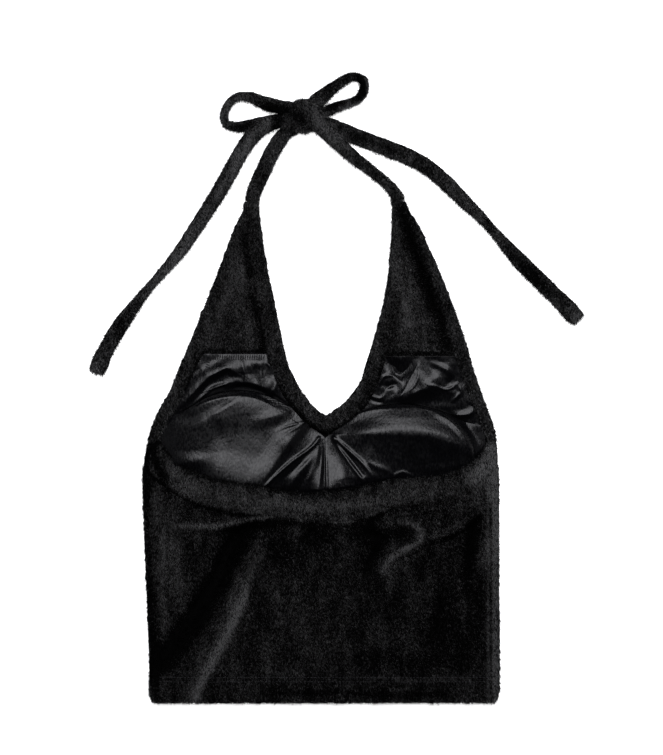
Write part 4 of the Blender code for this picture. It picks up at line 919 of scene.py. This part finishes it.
def satin_lining():
    """Satin: long floats of bright filament polyester. They mirror softly and show a faint line
    along the warp, here drawn coarser than the real 0.1 mm so that it shows."""
    satin = bpy.context.scene.halter_satin
    tree, surface = finish("polyester_satin", satin.colour, satin.roughness, specular=0.2)
    place = add(tree, "ShaderNodeTexCoord")
    warp = add(tree, "ShaderNodeTexWave",
               {"Vector": place.outputs["Object"], "Scale": WAVE_LENGTH / satin.warp,
                "Distortion": 0.6, "Detail": 1.0, "Detail Scale": 2.0}, bands_direction="X")
    tone = add(tree, "ShaderNodeMix",
               {MIX_SHARE: warp.outputs["Fac"], MIX_FIRST: (*satin.colour, 1.0),
                MIX_SECOND: (*[part * 1.5 for part in satin.colour], 1.0)}, data_type="RGBA")
    tree.links.new(tone.outputs[MIXED], surface.inputs["Base Color"])
    # It mirrors more and less sharply in patches as wide as a finger, and from thread to thread.
    patches = add(tree, "ShaderNodeTexNoise",
                  {"Vector": place.outputs["Object"], "Scale": 1 / (12 * MM), "Detail": 3.0})
    gloss = add(tree, "ShaderNodeMapRange",
                {"Value": patches.outputs["Fac"], "From Min": NOISE_SPAN[0],
                 "From Max": NOISE_SPAN[1], "To Min": satin.roughness - 0.04,
                 "To Max": satin.roughness + 0.05})
    # The threads have thicker places, about twice as long up the garment as across it.
    slub = add(tree, "ShaderNodeMapping",
               {"Vector": place.outputs["Object"], "Scale": (1.0, 0.45, 1.0)})
    grain = add(tree, "ShaderNodeTexNoise",
                {"Vector": slub.outputs[0], "Scale": 1 / satin.slub, "Detail": 2.0})
    fine = add(tree, "ShaderNodeMapRange",
               {"Value": grain.outputs["Fac"], "From Min": NOISE_SPAN[0],
                "From Max": NOISE_SPAN[1], "To Min": -0.09, "To Max": 0.09})
    rough = add(tree, "ShaderNodeMath", {0: gloss.outputs[0], 1: fine.outputs[0]}, operation="ADD")
    tree.links.new(rough.outputs[0], surface.inputs["Roughness"])
    bump = add(tree, "ShaderNodeBump",
               {"Height": warp.outputs["Fac"], "Strength": 0.25, "Distance": 0.02 * MM})
    bump = add(tree, "ShaderNodeBump",
               {"Height": grain.outputs["Fac"], "Strength": 1.0, "Distance": 0.2 * MM,
                "Normal": bump.outputs[0]})
    tree.links.new(bump.outputs[0], surface.inputs["Normal"])


def cup_foam():
    """Cup foam: cut polyurethane with a knit face, dull and slightly pitted."""
    tree, surface = finish("polyurethane_cup_foam", linear("#26262a"), 0.9)
    place = add(tree, "ShaderNodeTexCoord")
    cells = add(tree, "ShaderNodeTexNoise",
                {"Vector": place.outputs["Object"], "Scale": 1 / (1.5 * MM), "Detail": 4.0})
    bump = add(tree, "ShaderNodeBump",
               {"Height": cells.outputs["Fac"], "Strength": 0.5, "Distance": 0.2 * MM})
    tree.links.new(bump.outputs[0], surface.inputs["Normal"])


def threads():
    """Spun polyester thread for the hem: twisted and black, with a grey colour that is a painted
    gleam. Textured nylon thread for the overlocked edge: crimped and fluffy, so it's dull and
    blacker than the satin."""
    for name, colour, roughness, twist_length in (
        # The hem thread's grey is a painted gleam on black thread.
        ("spun_polyester_thread", "#343438", 0.5, 0.4 * MM),
        ("textured_nylon_thread", "#0a0a0c", 0.9, 0.25 * MM),
    ):
        tree, surface = finish(name, linear(colour), roughness, specular=0.3)
        place = add(tree, "ShaderNodeTexCoord")
        twist = add(tree, "ShaderNodeTexWave",
                    {"Vector": place.outputs["Object"], "Scale": WAVE_LENGTH / twist_length},
                    bands_direction="DIAGONAL")
        bump = add(tree, "ShaderNodeBump",
                   {"Height": twist.outputs["Fac"], "Strength": 0.4, "Distance": 0.05 * MM})
        tree.links.new(bump.outputs[0], surface.inputs["Normal"])


def opal_acrylic():
    """Opal acrylic sheet: a white, even glow from the lamps beneath it."""
    stage = bpy.context.scene.halter_stage
    _, surface = finish("opal_acrylic_sheet", stage.floor_colour, 0.8, specular=0.1)
    surface.inputs["Emission Color"].default_value = (1, 1, 1, 1)
    surface.inputs["Emission Strength"].default_value = stage.floor_glow


def make_finishes():
    """Makes every material of the top."""
    velour_pile()
    velour_ground()
    satin_lining()
    cup_foam()
    threads()


# ---------------------------------------------------------------------------------------------
# Sizes and colours that a user may change


class PlushSettings(bpy.types.PropertyGroup):
    """The plush: its pile and its ground"""

    pile_length: bpy.props.FloatProperty(
        name="Pile length", description="Length of a tuft", default=2.7 * MM, unit="LENGTH")
    tuft_width: bpy.props.FloatProperty(
        name="Tuft width", description="Width of a tuft at its root", default=0.44 * MM,
        unit="LENGTH")
    tufts: bpy.props.FloatProperty(
        name="Tufts", description="Tufts on each square millimetre of a shown face", default=2.5)
    clump: bpy.props.FloatProperty(
        name="Clump", description="Size of the clumps in which tufts lean together",
        default=0.8 * MM, unit="LENGTH")
    tuck: bpy.props.FloatProperty(
        name="Uneven length", description="Size of the patches of longer and shorter pile",
        default=3.6 * MM, unit="LENGTH")
    drift: bpy.props.FloatProperty(
        name="Drift", description="Size of the patches in which the pile is swept one way",
        default=14 * MM, unit="LENGTH")
    stitch: bpy.props.FloatProperty(
        name="Ground stitch", description="Spacing of the loops of the ground",
        default=0.9 * MM, unit="LENGTH")
    pile_colour: bpy.props.FloatVectorProperty(
        name="Pile", description="Colour of the pile", subtype="COLOR", default=linear("#181818"))
    ground_colour: bpy.props.FloatVectorProperty(
        name="Ground", description="Colour of the knitted ground", subtype="COLOR",
        default=linear("#050505"))


class SatinSettings(bpy.types.PropertyGroup):
    """The satin of the lining"""

    colour: bpy.props.FloatVectorProperty(
        name="Satin", description="Colour of the lining", subtype="COLOR",
        default=linear("#030304"))
    roughness: bpy.props.FloatProperty(
        name="Roughness", description="How blurred the lining mirrors", default=0.27,
        subtype="FACTOR")
    warp: bpy.props.FloatProperty(
        name="Warp spacing", description="Spacing of the lines along the warp",
        default=0.6 * MM, unit="LENGTH")
    slub: bpy.props.FloatProperty(
        name="Slub size", description="Width of the thicker places in the threads",
        default=1.7 * MM, unit="LENGTH")


class StageSettings(bpy.types.PropertyGroup):
    """The floor, the lights and the camera"""

    floor_colour: bpy.props.FloatVectorProperty(
        name="Floor", description="Colour of the floor", subtype="COLOR",
        default=linear("#f4f4f4"))
    floor_glow: bpy.props.FloatProperty(
        name="Floor glow", description="Light that the floor gives, as a lit white table does",
        default=1.0)
    key: bpy.props.FloatProperty(
        name="Key light", description="Power of the light beyond the bow", default=58.0,
        unit="POWER")
    fill: bpy.props.FloatProperty(
        name="Fill light", description="Power of each light at the sides", default=0.6,
        unit="POWER")
    room: bpy.props.FloatProperty(
        name="Room light", description="Strength of the even light of the room", default=0.012)
    camera_high: bpy.props.FloatProperty(
        name="Camera height", description="Height of the camera over the floor", default=3.0,
        unit="LENGTH")


# ---------------------------------------------------------------------------------------------
# Operators


class HALTER_OT_stage(bpy.types.Operator):
    """Set the floor, the lights and the camera"""

    bl_idname = "halter.stage"
    bl_label = "Stage"

    def execute(self, context):
        self.lay_floor()
        self.light(context)
        self.aim_camera(context)
        context.scene.view_settings.view_transform = "Standard"
        return {"FINISHED"}

    def lay_floor(self):
        """A sheet of opal acrylic lit from beneath, as for pictures on plain white."""
        mesh = bmesh.new()
        bmesh.ops.create_grid(mesh, x_segments=8, y_segments=8, size=FLOOR_REACH)
        floor = new_piece("Floor", mesh)
        opal_acrylic()
        floor.data.materials.append(bpy.data.materials["opal_acrylic_sheet"])

    def light(self, context):
        """An even room, one broad lamp beyond the bow and a faint one at each side."""
        stage = context.scene.halter_stage
        world = bpy.data.worlds.new("studio_room")
        context.scene.world = world
        world.use_nodes = True
        room = world.node_tree.nodes["Background"]
        room.inputs["Color"].default_value = (1, 1, 1, 1)
        room.inputs["Strength"].default_value = stage.room
        for name, power, wide, high, at in (
            ("key", stage.key, 2.4, 1.0, (0.0, 0.92, 1.85)),
            ("fill_left", stage.fill, 0.9, 0.9, (-1.5, 0.1, 0.9)),
            ("fill_right", stage.fill, 0.9, 0.9, (1.5, 0.1, 0.9)),
        ):
            lamp = bpy.data.lights.new(name, "AREA")
            lamp.shape = "RECTANGLE"
            lamp.energy = power
            lamp.size = wide
            lamp.size_y = high
            lamp.color = LAMP_COLOUR
            light = bpy.data.objects.new(name, lamp)
            light.location = at
            light.rotation_euler = (-Vector(at)).to_track_quat("-Z", "Y").to_euler()
            context.scene.collection.objects.link(light)

    def aim_camera(self, context):
        """A camera that looks straight down."""
        high = context.scene.halter_stage.camera_high
        lens = bpy.data.cameras.new("camera")
        lens.sensor_width = SENSOR
        lens.sensor_fit = "AUTO"
        lens.lens = SENSOR * (high - VIEW_LEVEL * MM) / (VIEW_HIGH * MM)
        lens.clip_end = 20.0
        camera = bpy.data.objects.new("camera", lens)
        across, up = VIEW_MIDDLE
        camera.location = ((across + CENTRE_FRONT_X) * MM, (up + HEM_Y) * MM, high)
        context.scene.collection.objects.link(camera)
        context.scene.camera = camera


class HALTER_OT_front(bpy.types.Operator):
    """Dress the front panel and the facings inside the wings"""

    bl_idname = "halter.front"
    bl_label = "Front and facings"

    def execute(self, context):
        plush_piece("front_panel", 1, seed=3, name="front",
                    lean=0.6, tone=0.4, over=0.06, under=0.38,
                    inset=FRONT_INSET)
        for side, area, seed in (("left", 0.0039, 4), ("right", 0.0042, 5)):
            plush_piece(f"wing_facing_{side}", 2, seed,
                        folds=WING_FOLDS,
                        nap_and_painted_light_strokes=WING_NAP_AND_PAINTED_LIGHT, lean=0.45, tone=0.7)
        return {"FINISHED"}


class HALTER_OT_bands(bpy.types.Operator):
    """Dress the bindings of the armholes and of the neck"""

    bl_idname = "halter.bands"
    bl_label = "Bindings"

    def execute(self, context):
        for side, area, seed in (("left", 0.0039, 6), ("right", 0.0037, 7)):
            plush_piece(f"armhole_band_{side}", 2, seed,
                        folds=WING_FOLDS, nap_and_painted_light_strokes=WING_NAP_AND_PAINTED_LIGHT, tone=0.58)
        plush_piece("neckline_band", 2, seed=8,
                    nap_and_painted_light_strokes=WING_NAP_AND_PAINTED_LIGHT)
        return {"FINISHED"}


class HALTER_OT_cups(bpy.types.Operator):
    """Dress the foam cups"""

    bl_idname = "halter.cups"
    bl_label = "Bust cups"

    def execute(self, context):
        for side in ("left", "right"):
            cup = finer(f"foam_cup_{side}", f"bust_cup_{side}", 1)
            draw_in(cup, *CUP_INSET)
            hand_over(cup, "polyurethane_cup_foam", f"bust_cup_{side}")
        return {"FINISHED"}


class HALTER_OT_lining(bpy.types.Operator):
    """Dress the satin lining with its creases and gathers"""

    bl_idname = "halter.lining"
    bl_label = "Satin lining"

    def execute(self, context):
        for side, area, seed in (("left", 0.0040, 21), ("right", 0.0049, 22)):
            upper = finer(f"upper_satin_{side}", f"upper_lining_{side}", 3)
            fold_top(upper, UPPER_CREASES, crest=0.5, sway=0.35, sway_size=9.0, seed=seed)
            hand_over(upper, "polyester_satin", f"upper_lining_{side}")
            if side == "left":
                stitches("overlock_left", upper, OVERLOCK_STITCHES,
                         "textured_nylon_thread")
        for side, area, seed in (("left", 0.0196, 23), ("right", 0.0175, 24)):
            cup = finer(f"cup_satin_{side}", f"cup_lining_{side}", 3)
            fold_top(cup, CUP_CREASES, crest=0.3, sway=0.15, sway_size=16.0, seed=seed)
            hand_over(cup, "polyester_satin", f"cup_lining_{side}")
        return {"FINISHED"}


class HALTER_OT_back(bpy.types.Operator):
    """Dress the back panel and the binding along its top"""

    bl_idname = "halter.back"
    bl_label = "Back"

    def execute(self, context):
        back = plush_piece("back_panel", 2, seed=31,
                           folds=BACK_FOLDS,
                           nap_and_painted_light_strokes=BACK_NAP_AND_PAINTED_LIGHT, lean=0.45, tone=0.32)
        stitches("hem_stitches", back, HEM_STITCHES, "spun_polyester_thread")
        plush_piece("back_band", 2, seed=32,
                    nap_and_painted_light_strokes=BAND_NAP_AND_PAINTED_LIGHT, lean=0.55, tone=0.56)
        return {"FINISHED"}


class HALTER_OT_ties(bpy.types.Operator):
    """Dress the straps and the bow"""

    bl_idname = "halter.ties"
    bl_label = "Straps and bow"

    def execute(self, context):
        for node, length, seed in (
            ("strap_left", 0.095, 41),
            ("strap_right", 0.115, 42),
            ("bow_loop_left", 0.14, 43),
            ("bow_loop_right", 0.11, 44),
            ("tie_tail_left", 0.35, 45),
            ("tie_tail_right", 0.37, 46),
        ):
            plush_piece(node, 1, seed,
                        nap_and_painted_light_strokes=TIE_NAP_AND_PAINTED_LIGHT, under=0.6, inset=TIE_INSET, uneven=0.9)
        plush_piece("bow_knot", 2, seed=47, folds=KNOT_GROOVES, nap_and_painted_light_strokes=TIE_NAP_AND_PAINTED_LIGHT, under=0.6,
                    inset=TIE_INSET)
        return {"FINISHED"}


class HALTER_PT_sidebar(bpy.types.Panel):
    """Lists the settings, and the operators in their order"""

    bl_label = "Halter Neck Top"
    bl_space_type = "VIEW_3D"
    bl_region_type = "UI"
    bl_category = "Halter Top"

    def draw(self, context):
        for setting, _ in GROUPS:
            group = getattr(context.scene, setting)
            for name in group.bl_rna.properties.keys():
                if name not in ("name", "rna_type"):
                    self.layout.prop(group, name)
        for operator in OPERATORS:
            self.layout.operator(operator.bl_idname)


GROUPS = (
    ("halter_plush", PlushSettings),
    ("halter_satin", SatinSettings),
    ("halter_stage", StageSettings),
)
OPERATORS = (
    HALTER_OT_stage,
    HALTER_OT_front,
    HALTER_OT_bands,
    HALTER_OT_cups,
    HALTER_OT_lining,
    HALTER_OT_back,
    HALTER_OT_ties,
)


def register():
    """Adds the settings, the operators and the panel."""
    for name, group in GROUPS:
        bpy.utils.register_class(group)
        setattr(bpy.types.Scene, name, bpy.props.PointerProperty(type=group))
    for operator in OPERATORS:
        bpy.utils.register_class(operator)
    bpy.utils.register_class(HALTER_PT_sidebar)


def unregister():
    """Takes away all that register adds."""
    bpy.utils.unregister_class(HALTER_PT_sidebar)
    for operator in reversed(OPERATORS):
        bpy.utils.unregister_class(operator)
    for name, group in reversed(GROUPS):
        delattr(bpy.types.Scene, name)
        bpy.utils.unregister_class(group)


def main():
    """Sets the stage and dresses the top."""
    register()
    make_finishes()
    bpy.ops.halter.stage()
    bpy.ops.halter.front()
    bpy.ops.halter.bands()
    bpy.ops.halter.cups()
    bpy.ops.halter.lining()
    bpy.ops.halter.back()
    bpy.ops.halter.ties()


if __name__ == "__main__":
    main()
